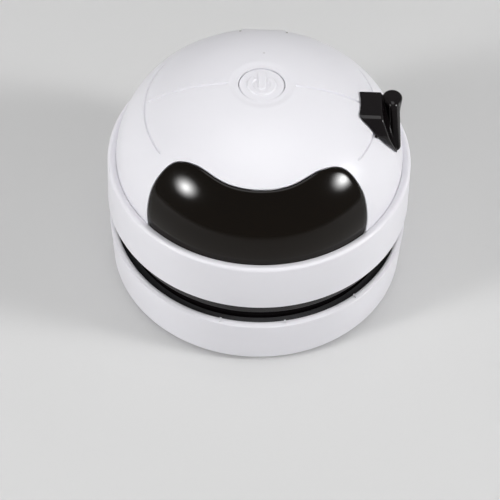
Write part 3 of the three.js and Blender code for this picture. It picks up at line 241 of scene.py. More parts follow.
def centre_reach(node):
    """How far the middle of a node's box lies from the axis."""
    low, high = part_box(node)
    return math.hypot(0.5 * (low.x + high.x), 0.5 * (low.y + high.y))


# What stands in a ring round the axis
COVER_SCREWS = {"count": 3, "start": math.radians(60), "reach": 33.5 * MM}
CARRIER_SCREWS = {"count": 3, "start": math.radians(30), "reach": centre_reach("carrier_screw_1")}
FEET = {"count": 4, "start": math.radians(45), "reach": 38.2 * MM}
BAYONET = {"count": 4, "start": math.radians(45)}

# Upright bars for bosses, bores, seats and pits: radius, foot and top
COVER_BOSS, COVER_BORE, FLOOR_BOSS, FLOOR_BORE, CARRIER_SEAT, CARRIER_BORE, FOOT_PIT = in_mm(
    (2.6, 22.5, 62), (1.25, 19, 24), (2.6, 6, 10.6), (1.25, 5, 9.4), (2.2, 2, 4.7), (1.25, 2, 6),
    (2.4, -0.5, 1.4))
COVER_BOSS_LIMIT = 22 * MM

# Screws of the brush carrier: section, seat, and the cross recess in the head
SCREW_SECTION = in_mm(
    (0, -4.6, 0), (0.95, -3.6, 0), (0.95, 0, 0), (1.9, 0, 0), (1.9, 0.585, 0.2), (1.254, 1.3, 0.5),
    (0, 1.3, 0))
SCREW_SEAT = 4.4 * MM
RECESS_ARM = 1.102 * MM
RECESS_HALF_WIDTH = 0.24 * MM
RECESS_SPAN = row_mm(0.455, 2.3)

# Bristles
BRUSH_ROWS = 2
BRUSH_SEED = 7
BRISTLE_ROOT = 3.4 * MM
BRISTLE_TIP = 0.32 * MM
BRISTLE_RADIUS = 0.1 * MM
BRISTLE_LEAN = 0.09
BRUSH_RADIUS = 30 * MM
BRUSH_ROW_PITCH = 1.8 * MM
TUFT_RADIUS = 0.75 * MM

# Painted shade in the shell's gaps, and the mould mark on the dome
# One brown for both the painted gap shade and the real mould mark
PAINTED_SHADE_AND_MARK_COLOUR = (0.13, 0.105, 0.09, 1)
PAINTED_RING_DARKNESS, PAINTED_SLIT_DARKNESS, MARK_DARKNESS = 0.8, 0.92, 0.35
RING_SHADE = row_mm(0.16, 0.22)
RING_SHADE_HEIGHTS = (BUTTON_TOP - 1.3 * MM, BUTTON_TOP - 0.75 * MM)
SLIT_SHADE = row_mm(0.25, 0.31)
SLIT_SHADE_Y = row_mm(27, 28)
SLIT_SHADE_Z = row_mm(48, 49)
MARK_PLACE = row_mm(0.3, 12.6, 66.6)
MARK_RADII = row_mm(0.15, 0.5)

# Heights over which a tint changes on the window, and over which the bristles' painted shade deepens
WINDOW_TINT_HEIGHTS = row_mm(38, 61)
BRISTLE_SHADE_HEIGHTS = row_mm(0.2, 4)

# Stage: each side lamp has its azimuth off the front, its elevation and its share of the glow
SIDE_LAMPS = (("left_lamp", -60.7, 27.6, 1.12), ("right_lamp", 75.8, 28.2, 1.25))
SIDE_LAMP_REACH = 0.9
OVERHEAD_PLACE = Vector((0, -0.02, 1.1))
OVERHEAD_WIDTH = 0.85
LAMP_FALLOFF = 2.2
MIDDLE_HEIGHT = 0.035
TABLE_REACH = 3.0
SENSOR_WIDTH = 36


class Wire:
    """A node socket in a Python expression: each operator adds its Math node."""

    def __init__(self, graph, socket):
        self.graph = graph
        self.socket = socket

    def maths(self, operation, *others):
        return self.graph.maths(operation, self, *others)

    def __add__(self, other):
        return self.maths("ADD", other)

    __radd__ = __add__

    def __sub__(self, other):
        return self.maths("SUBTRACT", other)

    def __rsub__(self, other):
        return self.graph.maths("SUBTRACT", other, self)

    def __mul__(self, other):
        return self.maths("MULTIPLY", other)

    __rmul__ = __mul__

    def __truediv__(self, other):
        return self.maths("DIVIDE", other)

    def __pow__(self, other):
        return self.maths("POWER", other)

    def __abs__(self):
        return self.maths("ABSOLUTE")

    def clamped(self):
        return self.maths("MAXIMUM", 0).maths("MINIMUM", 1)

    def step_up(self, low, high):
        """0 below low, 1 above high and a smooth rise between them."""
        t = ((self - low) / (high - low)).clamped()
        return t * t * (3 - 2 * t)


class Graph:
    """A node tree under construction."""

    def __init__(self, tree):
        self.tree = tree

    def add(self, kind, settings=None, sockets=None):
        """A node of a kind, with its settings made first and then its sockets linked or set."""
        node = self.tree.nodes.new(kind)
        for name, value in (settings or {}).items():
            setattr(node, name, value)
        for key, value in (sockets or {}).items():
            self.feed(node.inputs[key], value)
        return node

    def feed(self, socket, value):
        if isinstance(value, Wire):
            self.tree.links.new(value.socket, socket)
        else:
            socket.default_value = value

    def wire(self, kind, settings=None, sockets=None, out=0):
        return Wire(self, self.add(kind, settings, sockets).outputs[out])

    def maths(self, operation, *values):
        sockets = dict(enumerate(values))
        return self.wire("ShaderNodeMath", {"operation": operation}, sockets)


class Finish(Graph):
    """A procedural material whose shader takes its constants on its own sockets."""

    def __init__(self, name, **constants):
        self.material = bpy.data.materials.new(name)
        self.material.use_nodes = True
        tree = self.material.node_tree
        tree.nodes.clear()
        super().__init__(tree)
        self.shader = self.add("ShaderNodeBsdfPrincipled")
        output = self.add("ShaderNodeOutputMaterial")
        tree.links.new(self.shader.outputs[0], output.inputs[0])
        for name, value in constants.items():
            self.set(name.replace("_", " "), value)
        self.place = self.wire("ShaderNodeTexCoord", out="Object")

    def set(self, socket, value):
        self.feed(self.shader.inputs[socket], value)

    def noise(self, scale, detail=2.0, place=None):
        sockets = {"Vector": place or self.place, "Scale": scale, "Detail": detail}
        return self.wire("ShaderNodeTexNoise", None, sockets)

    def axis(self, name):
        return self.wire("ShaderNodeSeparateXYZ", None, {0: self.place}, out="XYZ".index(name))

    def stretched(self, scale):
        """Object coordinates scaled apart along the axes."""
        return self.wire("ShaderNodeMapping", None, {"Vector": self.place, "Scale": scale})

    def blend(self, share, first, second):
        """One colour fading into another."""
        settings = {"data_type": "RGBA"}
        return self.wire("ShaderNodeMix", settings, {0: share, 6: first, 7: second}, out=2)

    def relief(self, height, strength, distance):
        sockets = {"Height": height, "Strength": strength, "Distance": distance}
        self.set("Normal", self.wire("ShaderNodeBump", None, sockets))


def opaque(colour):
    return (*colour, 1.0)


def shaded(colour, factor):
    return (*[min(channel * factor, 1.0) for channel in colour], 1.0)


def painted_gap_shade(finish):
    """Painted shade deep in the gap round the button and in those beside the hood."""
    x, y, z = [finish.axis(name) for name in "XYZ"]
    from_axis = (x * x + y * y) ** 0.5
    ring = 1 - abs(from_axis - (BUTTON_RADIUS + 0.5 * FIT_GAP)).step_up(*RING_SHADE)
    ring = ring * (1 - z.step_up(*RING_SHADE_HEIGHTS))
    slit = 1 - abs(abs(x) - (HOOD_HALF_WIDTH + 0.5 * HOOD_GAP)).step_up(*SLIT_SHADE)
    slit = slit * y.step_up(*SLIT_SHADE_Y) * z.step_up(*SLIT_SHADE_Z)
    return (ring * PAINTED_RING_DARKNESS).maths("MAXIMUM", slit * PAINTED_SLIT_DARKNESS)


def white_shell(colours):
    """Moulded gloss plastic with a faint unevenness, a tiny mould mark behind the button and painted shade
    deep in its gaps.
    """
    finish = Finish("white_shell", IOR=1.48)
    cloud = finish.noise(28, 3)
    tone = finish.blend(cloud, shaded(colours.white, 0.985), opaque(colours.white))
    mark = finish.wire(
        "ShaderNodeVectorMath", {"operation": "DISTANCE"},
        {0: finish.place, 1: MARK_PLACE}, out="Value",
    )
    spot = 1 - mark.step_up(*MARK_RADII)
    # The painted shade in the gaps and the real mould mark both pull the base colour towards one brown
    shade_and_mark = painted_gap_shade(finish).maths("MAXIMUM", spot * MARK_DARKNESS)
    finish.set("Base Color", finish.blend(shade_and_mark, tone, PAINTED_SHADE_AND_MARK_COLOUR))
    finish.set("Roughness", 0.3 + 0.06 * finish.noise(260, 4))
    finish.relief(finish.noise(1400, 3), 0.05, 0.05 * MM)
    return finish.material


def smoked_window(colours):
    """Polished smoked plastic, its base colour lighter towards its foot."""
    finish = Finish("smoked_window", IOR=1.33)
    height = finish.axis("Z").step_up(*WINDOW_TINT_HEIGHTS)
    tone = finish.blend(height, opaque(colours.smoke), shaded(colours.smoke, 0.55))
    finish.set("Base Color", tone)
    finish.set("Roughness", 0.1 + 0.04 * finish.noise(60, 3))
    finish.relief(finish.noise(500, 2), 0.02, 0.05 * MM)
    return finish.material


def black_gloss(colours):
    """Polished black plastic with the faintest haze."""
    finish = Finish("black_gloss", IOR=1.36)
    haze = finish.noise(180, 4)
    finish.set("Base Color", finish.blend(haze, opaque(colours.black), shaded(colours.black, 1.6)))
    finish.set("Roughness", 0.07 + 0.07 * finish.noise(420, 3))
    finish.relief(finish.noise(900, 2), 0.04, 0.05 * MM)
    return finish.material


def black_rubber(colours):
    """Matt rubber with a dusty grain."""
    finish = Finish("black_rubber", IOR=1.5)
    grain = finish.noise(1600, 4)
    finish.set("Base Color", finish.blend(grain, shaded(colours.rubber, 0.8), shaded(colours.rubber, 1.5)))
    finish.set("Roughness", 0.68 + 0.2 * finish.noise(300, 2))
    finish.relief(grain, 0.3, 0.06 * MM)
    return finish.material


def moulded(name, colour, roughness):
    """Satin moulded plastic with spark texture."""
    finish = Finish(name, IOR=1.5)
    grain = finish.noise(2600, 3)
    cloud = finish.noise(60, 3)
    finish.set("Base Color", finish.blend(cloud, shaded(colour, 0.9), shaded(colour, 1.08)))
    finish.set("Roughness", roughness + 0.12 * finish.noise(240, 2))
    finish.relief(grain, 0.25, 0.05 * MM)
    return finish.material


def nylon_bristle(colours):
    """Drawn nylon, with painted shade darkening it towards the backing."""
    finish = Finish("nylon_bristle", IOR=1.53)
    height = finish.axis("Z").step_up(*BRISTLE_SHADE_HEIGHTS)
    # Painted shade: a lighter copy of the nylon at the tips, a darker copy near the backing
    tone = finish.blend(height, shaded(colours.nylon, 1.5), shaded(colours.nylon, 0.8))
    finish.set("Base Color", tone)
    finish.set("Roughness", 0.34 + 0.15 * finish.noise(900, 2))
    return finish.material


def filter_fleece(colours):
    """Felted filter fleece."""
    finish = Finish("filter_fleece", IOR=1.45, Sheen_Weight=0.3)
    fibre = finish.noise(2200, 6, finish.stretched((1, 3, 1)))
    finish.set("Base Color", finish.blend(fibre, shaded(colours.fleece, 0.8), opaque(colours.fleece)))
    finish.set("Roughness", 0.85 + 0.1 * fibre)
    finish.relief(fibre, 0.6, 0.12 * MM)
    return finish.material


def plated_steel(colours):
    """Nickel-plated steel with fine turning marks."""
    finish = Finish("plated_steel", Metallic=1.0)
    marks = finish.noise(700, 3, finish.stretched((1, 1, 9)))
    finish.set("Base Color", finish.blend(marks, shaded(colours.steel, 0.85), opaque(colours.steel)))
    finish.set("Roughness", 0.2 + 0.2 * marks)
    finish.relief(marks, 0.15, 0.03 * MM)
    return finish.material


def green_board(colours):
    """Solder mask over faint copper tracks."""
    finish = Finish("green_board", IOR=1.5, Coat_Weight=0.4, Coat_Roughness=0.1)
    across = finish.wire(
        "ShaderNodeTexBrick", {"offset": 0.5},
        {"Vector": finish.place, "Scale": 220.0, "Mortar Size": 0.03, "Color1": (0, 0, 0, 1),
         "Color2": (0, 0, 0, 1), "Mortar": (1, 1, 1, 1)},
    )
    finish.set("Base Color", finish.blend(across, opaque(colours.board), shaded(colours.board, 2.2)))
    finish.set("Roughness", 0.35 + 0.1 * finish.noise(500, 2))
    finish.relief(across, 0.3, 0.03 * MM)
    return finish.material


def cell_sleeve(colours):
    """Shrunk plastic sleeve with slight creases along the cell."""
    finish = Finish("cell_sleeve", IOR=1.5)
    creases = finish.noise(400, 3, finish.stretched((1, 0.1, 1)))
    finish.set("Base Color", finish.blend(creases, opaque(colours.sleeve), shaded(colours.sleeve, 1.3)))
    finish.set("Roughness", 0.25 + 0.15 * creases)
    finish.relief(creases, 0.3, 0.08 * MM)
    return finish.material


FINISHES = {
    "white_shell": white_shell,
    "smoked_window": smoked_window,
    "black_gloss": black_gloss,
    "black_rubber": black_rubber,
    "grey_plastic": lambda colours: moulded("grey_plastic", colours.grey, 0.42),
    "black_plastic": lambda colours: moulded("black_plastic", colours.rubber, 0.38),
    "nylon_bristle": nylon_bristle,
    "filter_fleece": filter_fleece,
    "plated_steel": plated_steel,
    "green_board": green_board,
    "cell_sleeve": cell_sleeve,
}


made_finishes = {}


def finish_of(slot):
    """The material of one of the record's slots, made once in place of the frame's plain one."""
    if slot not in made_finishes:
        plain_one = bpy.data.materials.get(slot)
        if plain_one:
            plain_one.name = slot + "_plain"
        made_finishes[slot] = FINISHES[slot](bpy.context.scene.vacuum_colours)
    return made_finishes[slot]


def mesh_object(name, points, faces, edges=()):
    mesh = bpy.data.meshes.new(name)
    mesh.from_pydata([tuple(point) for point in points], list(edges), [tuple(face) for face in faces])
    mesh.validate()
    obj = bpy.data.objects.new(name, mesh)
    bpy.context.scene.collection.objects.link(obj)
    return obj


def plain(obj):
    """Makes what the modifiers of an object show its own mesh, with its faces outwards."""
    graph = bpy.context.evaluated_depsgraph_get()
    mesh = bpy.data.meshes.new_from_object(obj.evaluated_get(graph), depsgraph=graph)
    obj.modifiers.clear()
    obj.data = mesh
    turn_outwards(obj)
    return obj


def turn_outwards(obj):
    form = bmesh.new()
    form.from_mesh(obj.data)
    bmesh.ops.remove_doubles(form, verts=form.verts, dist=1e-7)
    if form.calc_volume(signed=True) < 0:
        bmesh.ops.reverse_faces(form, faces=form.faces)
    form.to_mesh(obj.data)
    form.free()
    return obj


def cut(obj, operation, *tools):
    """Joins, cuts or trims an object with others, which are used up."""
    for tool in tools:
        turn_outwards(tool)
        modifier = obj.modifiers.new("cut", "BOOLEAN")
        modifier.operation = operation
        modifier.solver = "MANIFOLD"
        modifier.object = tool
        plain(obj)
        bpy.data.objects.remove(tool)
    return obj


def show(obj, body, slot, *nodes, sharp=SHARP_OVER):
    """The last step of a piece: its shading, finish, body and the nodes that it stands for."""
    obj.data.materials.clear()
    obj.data.materials.append(finish_of(slot))
    obj.data.shade_smooth()
    obj.data.set_sharp_from_angle(angle=sharp)
    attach(obj, body)
    if nodes:
        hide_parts(*nodes)
    return obj


def new_tree(name, inputs):
    """A Geometry Nodes tree with named inputs, its graph and a wire for each input."""
    tree = bpy.data.node_groups.new(name, "GeometryNodeTree")
    tree.interface.new_socket("Geometry", in_out="INPUT", socket_type="NodeSocketGeometry")
    for label, kind in inputs.items():
        tree.interface.new_socket(label, in_out="INPUT", socket_type="NodeSocket" + kind)
    tree.interface.new_socket("Geometry", in_out="OUTPUT", socket_type="NodeSocketGeometry")
    graph = Graph(tree)
    source = graph.add("NodeGroupInput")
    wires = {socket.name: Wire(graph, socket) for socket in source.outputs if socket.name}
    return graph, wires


def close_tree(graph, geometry, material):
    real = graph.wire("GeometryNodeRealizeInstances", None, {0: geometry})
    coated = graph.wire("GeometryNodeSetMaterial", None, {"Geometry": real, "Material": material})
    graph.add("NodeGroupOutput", None, {0: coated})
    return graph.tree


def grow_by_nodes(obj, tree, values):
    """Runs a node tree on an object and keeps the result as its mesh."""
    modifier = obj.modifiers.new(tree.name, "NODES")
    modifier.node_group = tree
    for item in tree.interface.items_tree:
        if item.in_out == "INPUT" and item.name in values:
            modifier[item.identifier] = values[item.name]
    return plain(obj)


def turned_tree():
    """Sweeps the object's section, drawn in X and Z, round a circle."""
    found = bpy.data.node_groups.get("Turned section")
    if found:
        return found
    inputs = {"Path Radius": "Float", "Segments": "Int", "Material": "Material"}
    graph, given = new_tree("Turned section", inputs)
    section = graph.wire("GeometryNodeMeshToCurve", None, {0: given["Geometry"]})
    inwards = graph.wire("ShaderNodeCombineXYZ", None, {0: given["Path Radius"] * -1})
    centred = graph.wire("GeometryNodeTransform", None, {"Geometry": section, "Translation": inwards})
    laid = graph.wire(
        "GeometryNodeTransform", None, {"Geometry": centred, "Rotation": (math.pi / 2, 0, 0)},
    )
    path = graph.wire(
        "GeometryNodeCurvePrimitiveCircle", None,
        {"Resolution": given["Segments"], "Radius": given["Path Radius"]},
    )
    upright = graph.wire("GeometryNodeSetCurveNormal", {"mode": "Z_UP"}, {"Curve": path})
    swept = graph.wire(
        "GeometryNodeCurveToMesh", None, {"Curve": upright, "Profile Curve": laid},
    )
    merged = graph.wire(
        "GeometryNodeMergeByDistance", None, {"Geometry": swept, "Distance": 0.001 * MM},
    )
    return close_tree(graph, merged, given["Material"])


def turned(name, section, slot, segments=BODY_SEGMENTS):
    """A turned piece from its section: corners of radius, height and rounding."""
    outline = filleted(section)
    edges = [(i, (i + 1) % len(outline)) for i in range(len(outline))]
    obj = mesh_object(name, [(radius, 0, height) for radius, height in outline], (), edges)
    path_radius = max(radius for radius, height in outline)
    values = {"Path Radius": path_radius, "Segments": segments, "Material": finish_of(slot)}
    return grow_by_nodes(obj, turned_tree(), values)


def filleted(corners, steps=FILLET_STEPS):
    """A closed outline from corners (x, y, radius), each rounded by an arc of its radius."""
    outline = []
    for i, (x, y, radius) in enumerate(corners):
        here = Vector((x, y))
        back = (Vector(corners[i - 1][:2]) - here).normalized()
        ahead = (Vector(corners[(i + 1) % len(corners)][:2]) - here).normalized()
        if radius == 0:
            outline.append((x, y))
            continue
        half = math.acos(max(-1, min(1, back.dot(ahead)))) / 2
        centre = here + (back + ahead).normalized() * (radius / math.sin(half))
        first = here + back * (radius / math.tan(half)) - centre
        last = here + ahead * (radius / math.tan(half)) - centre
        sweep = math.atan2(first.x * last.y - first.y * last.x, first.dot(last))
        for step in range(steps + 1):
            angle = sweep * step / steps
            turn = Matrix.Rotation(angle, 2)
            outline.append(tuple(centre + turn @ first))
    return outline


def skinned(name, low_ring, high_ring):
    """A closed solid between two outlines with as many points each."""
    count = len(low_ring)
    sides = [(i, (i + 1) % count, count + (i + 1) % count, count + i) for i in range(count)]
    caps = [tuple(range(count))[::-1], tuple(range(count, 2 * count))]
    return turn_outwards(mesh_object(name, [*low_ring, *high_ring], sides + caps))


def lofted(name, rings, low_point, high_point):
    """A closed solid over rings of points, with a fan of triangles at either end."""
    count = len(rings[0])
    points = [tuple(point) for ring in rings for point in ring] + [low_point, high_point]
    last = (len(rings) - 1) * count
    faces = []
    for first in range(0, last, count):
        for k in range(count):
            j = (k + 1) % count
            faces.append((first + k, first + j, first + count + j, first + count + k))
    for k in range(count):
        j = (k + 1) % count
        faces.append((j, k, len(points) - 2))
        faces.append((last + k, last + j, len(points) - 1))
    return turn_outwards(mesh_object(name, points, faces))


def circle(radius, height, segments):
    """Points round the axis."""
    angles = [2 * math.pi * k / segments for k in range(segments)]
    return [(radius * math.cos(a), radius * math.sin(a), height) for a in angles]


def turned_closed(name, outline, segments=SMALL_SEGMENTS):
    """A solid turned from a section that starts and ends on the axis."""
    rings = [circle(radius, height, segments) for radius, height in outline[1:-1]]
    return lofted(name, rings, (0, 0, outline[0][1]), (0, 0, outline[-1][1]))


def prism(name, outline, low, high, axes="XYZ"):
    """A closed prism: an outline in the first two axes named, from low to high along the third."""
    order = ["XYZ".index(axis) for axis in axes]

    def placed(level):
        ring = []
        for u, v in outline:
            point = [0, 0, 0]
            for index, value in zip(order, (u, v, level)):
                point[index] = value
            ring.append(point)
        return ring

    return skinned(name, placed(low), placed(high))


def along_x(name, outline, low, high):
    return prism(name, outline, low, high, "YZX")


def along_y(name, outline, low, high):
    return prism(name, outline, low, high, "XZY")


def block(name, low, high):
    outline = [(low[0], low[1]), (high[0], low[1]), (high[0], high[1]), (low[0], high[1])]
    return prism(name, outline, low[2], high[2])


def round_bar(name, radius, low, high):
    outline = [(x, y) for x, y, _ in circle(radius, 0, SMALL_SEGMENTS)]
    return prism(name, outline, low, high)


def arc_block(name, inner, outer, low, high, start, end, steps=12):
    angles = [start + (end - start) * i / steps for i in range(steps + 1)]
    outline = [(outer * math.cos(a), outer * math.sin(a)) for a in angles]
    outline += [(inner * math.cos(a), inner * math.sin(a)) for a in reversed(angles)]
    return prism(name, outline, low, high)


def rounded_box_outline(width, height, radius, x=0.0, y=0.0):
    right, top = x + width / 2, y + height / 2
    left, low = x - width / 2, y - height / 2
    return filleted([(left, low, radius), (right, low, radius), (right, top, radius), (left, top, radius)])


def dome_point(share, offset=0.0):
    """Radius and height on the dome's profile at a share of the quarter turn, and its normal there."""
    angle = share * math.pi / 2
    c, s = max(math.cos(angle), 1e-9), max(math.sin(angle), 1e-9)
    radius, height = DOME_RADIUS * c ** WIDTH_POWER, DOME_SPRING + DOME_RISE * s ** HEIGHT_POWER
    across = (radius / DOME_RADIUS) ** (2 / WIDTH_POWER - 1) / (WIDTH_POWER * DOME_RADIUS)
    rise = max(height - DOME_SPRING, 0) / DOME_RISE
    along = rise ** (2 / HEIGHT_POWER - 1) / (HEIGHT_POWER * DOME_RISE)
    normal = Vector((across, along)).normalized()
    return radius + offset * normal.x, height + offset * normal.y, normal


def dome_share_at(height):
    """The share of the quarter turn at which the dome reaches a height."""
    rise = min(max((height - DOME_SPRING) / DOME_RISE, 0), 1)
    return math.asin(rise ** (1 / HEIGHT_POWER)) / (math.pi / 2)


def on_dome(azimuth, height, offset=0.0):
    """A point at a height on the dome, moved out along the normal; azimuth 0 is the front."""
    if height < DOME_SPRING:
        radius, level = DOME_RADIUS + offset, height
    else:
        radius, level, _ = dome_point(dome_share_at(height), offset)
    return Vector((radius * math.sin(azimuth), -radius * math.cos(azimuth), level))


def dome_solid(name, offset, low, steps=48, segments=BODY_SEGMENTS):
    """The dome's outer form, grown or shrunk, as one solid down to a height."""
    skin = [dome_point(i / steps, offset)[:2] for i in range(steps)]
    top = DOME_SPRING + DOME_RISE + offset
    return turned_closed(name, [(0, low), (DOME_RADIUS + offset, low), *skin, (0, top)], segments)


def window_edge(grow=0.0, samples=40):
    """The window's outline as arc lengths and heights, anticlockwise from its right foot."""
    half = WINDOW_HALF_SWEEP * DOME_RADIUS
    right = [Vector((x * half, WINDOW_FOOT + y * WINDOW_HEIGHT)) for x, y in WINDOW_EDGE_SHARES]
    knots = right[::-1] + [Vector((-point.x, point.y)) for point in right[1:]]
    curve = []
    for i in range(len(knots) - 1):
        before = knots[max(i - 1, 0)]
        a, b = knots[i], knots[i + 1]
        after = knots[min(i + 2, len(knots) - 1)]
        for step in range(SPLINE_STEPS):
            t = step / SPLINE_STEPS
            curve.append(0.5 * (2 * a + (b - before) * t + (2 * before - 5 * a + 4 * b - after) * t * t
                                + (3 * a - before - 3 * b + after) * t ** 3))
    curve.append(knots[-1])
    foot = [curve[-1].lerp(curve[0], step / samples) for step in range(1, samples)]
    ring = curve + foot
    grown = []
    for i, point in enumerate(ring):
        along = (ring[(i + 1) % len(ring)] - ring[i - 1]).normalized()
        grown.append(point + Vector((along.y, -along.x)) * grow)
    return grown


def window_solid(name, grow, outer, inner, edge_round, rings=SEAT_RINGS):
    """A solid that lies in the dome's skin inside the window's outline, with rounded outer edges."""
    edge = window_edge(grow)
    middle = Vector((0, WINDOW_FOOT + WINDOW_MIDDLE_SHARE * WINDOW_HEIGHT))
    inset = 1 - edge_round / WINDOW_ROUND_SPAN
    layers = [(inset * i / rings, outer) for i in range(1, rings + 1)]
    for step in range(1, FILLET_STEPS + 1):
        angle = step / FILLET_STEPS * QUARTER_TURN
        layers.append((inset + (1 - inset) * math.sin(angle), outer - edge_round * (1 - math.cos(angle))))
    layers.append((1, inner))
    layers += [(inset * i / rings, inner) for i in range(rings, 0, -2)]
    skins = []
    for share, offset in layers:
        spots = [middle.lerp(point, share) for point in edge]
        skins.append([on_dome(spot.x / DOME_RADIUS, spot.y, offset) for spot in spots])
    return lofted(name, skins, on_dome(0, middle.y, outer), on_dome(0, middle.y, inner))


def cluster(middle, reach, count):
    """Evenly spaced values round a middle."""
    return [middle - reach + 2 * reach * i / (count - 1) for i in range(count)]


def dome_rings(settings):
    """Shares of the dome's quarter turn, closer together at the fine seam and in the dish."""
    top, dish = [math.acos((radius / DOME_RADIUS) ** (1 / WIDTH_POWER)) / QUARTER_TURN
                 for radius in (settings.bore, DISH_BAND)]
    seam = [dome_share_at(height) for height in cluster(ARC_SEAM_HEIGHT, SEAM_BAND, SEAM_RINGS)]
    plain_shares = [i / settings.rings for i in range(settings.rings)]
    clear = [s for s in plain_shares if s < dish and not seam[0] <= s <= seam[-1]]
    return sorted(clear + seam + cluster((dish + top) / 2, (top - dish) / 2, DISH_RINGS))


def dome_azimuths(radius, settings):
    """Azimuths round one ring: lines at set distances from the crown seam, even steps between."""
    near = [math.asin(line / radius) for line in SEAM_LINES]
    half = [-a for a in reversed(near)] + [0] + near
    span = math.pi - 2 * near[-1]
    steps = [near[-1] + span * i / settings.columns for i in range(1, settings.columns)]
    first = half + steps
    return np.array(first + [math.pi + a for a in first])


def rise(values, low, high):
    """0 below low, 1 above high and a smooth rise between them, for numbers."""
    t = np.clip((values - low) / (high - low), 0, 1)
    return t * t * (3 - 2 * t)


def soft_span(values, low, high, soft):
    """1 between two limits, with soft ends."""
    return rise(values, low - soft, low) * (1 - rise(values, high, high + soft))


def groove_depth(radius, height, slope, azimuths, settings):
    """How far the surface lies under the plain dome along one ring."""
    x, y = radius * np.cos(azimuths), radius * np.sin(azimuths)
    from_front = np.abs((azimuths + math.pi / 2 + math.pi) % (2 * math.pi) - math.pi)
    half = settings.groove_width / 2
    floor = half * SEAM_FLOOR_SHARE
    seam = (1 - rise(np.abs(y), floor, half)) * soft_span(
        np.abs(x), SEAM_INNER, SEAM_OUTER, SEAM_BAND)
    along = abs(height - ARC_SEAM_HEIGHT) / max(slope, LEAST_SLOPE)
    arc = (1 - rise(np.array([along]), floor, half)) * soft_span(
        from_front, *ARC_SEAM_SWEEP, ARC_SEAM_END)
    dish = 1 - rise(np.array([radius]), *DISH_SLOPE)
    return settings.groove_depth * np.maximum(seam, arc) + settings.dish_depth * dish


def dome_skin(settings):
    """The dome's outer form with its seams and dish, closed by a flat foot and a bore."""
    def ring(reach, azimuths, height):
        heights = np.broadcast_to(height, azimuths.shape)
        return np.column_stack([reach * np.cos(azimuths), reach * np.sin(azimuths), heights])

    foot_azimuths = dome_azimuths(DOME_RADIUS, settings)
    foot_heights = (DOME_FOOT, 0.5 * (DOME_FOOT + DOME_SPRING))
    rings = [ring(DOME_RADIUS, foot_azimuths, height) for height in foot_heights]
    for share in dome_rings(settings):
        radius, height, normal = dome_point(share)
        azimuths = dome_azimuths(radius, settings)
        depth = groove_depth(radius, height, normal.x, azimuths, settings)
        rings.append(ring(radius - depth * normal.x, azimuths, height - depth * normal.y))
    bore = rings[-1].copy()
    bore[:, 2] = ARC_SEAM_HEIGHT
    return lofted("finished_dome", rings + [bore], (0, 0, DOME_FOOT), (0, 0, ARC_SEAM_HEIGHT))


def port_outline(grow):
    return rounded_box_outline(
        PORT_WIDTH + 2 * grow, PORT_HEIGHT + 2 * grow, PORT_ROUND + grow, PORT_Y, PORT_Z)


def socket_outline(grow, radius):
    return rounded_box_outline(SOCKET_WIDTH + grow, SOCKET_HEIGHT + grow, radius, 0, SOCKET_Z)


def repeat_tree():
    """Copies a template at even steps round the Z axis."""
    found = bpy.data.node_groups.get("Repeat round")
    if found:
        return found
    inputs = {"Template": "Object", "Count": "Int", "Start": "Float", "Pitch": "Float",
              "Reach": "Float", "Material": "Material"}
    graph, given = new_tree("Repeat round", inputs)
    index = graph.wire("GeometryNodeInputIndex")
    angle = given["Start"] + index * given["Pitch"]
    x, y = angle.maths("COSINE") * given["Reach"], angle.maths("SINE") * given["Reach"]
    place = graph.wire("ShaderNodeCombineXYZ", None, {0: x, 1: y})
    turn = graph.wire("ShaderNodeCombineXYZ", None, {2: angle})
    points = graph.wire("GeometryNodePoints", None, {"Count": given["Count"], "Position": place})
    template = graph.wire("GeometryNodeObjectInfo", {"transform_space": "ORIGINAL"},
                          {"Object": given["Template"]}, out="Geometry")
    copies = graph.wire("GeometryNodeInstanceOnPoints", None,
                        {"Points": points, "Instance": template, "Rotation": turn})
    return close_tree(graph, copies, given["Material"])


def repeated(name, template, slot, count, start, reach=0.0, pitch=None):
    """One mesh of copies of a template, which is used up; without a pitch they fill the round."""
    obj = mesh_object(name, (), ())
    values = {"Template": template, "Count": count, "Start": start,
              "Pitch": pitch or 2 * math.pi / count, "Reach": reach, "Material": finish_of(slot)}
    grow_by_nodes(obj, repeat_tree(), values)
    bpy.data.objects.remove(template)
    return obj


def bars_round(radius, low, high, slot, places):
    """Upright bars in a ring, for bosses, bores and pits."""
    return repeated("bars", round_bar("bar", radius, low, high), slot, **places)


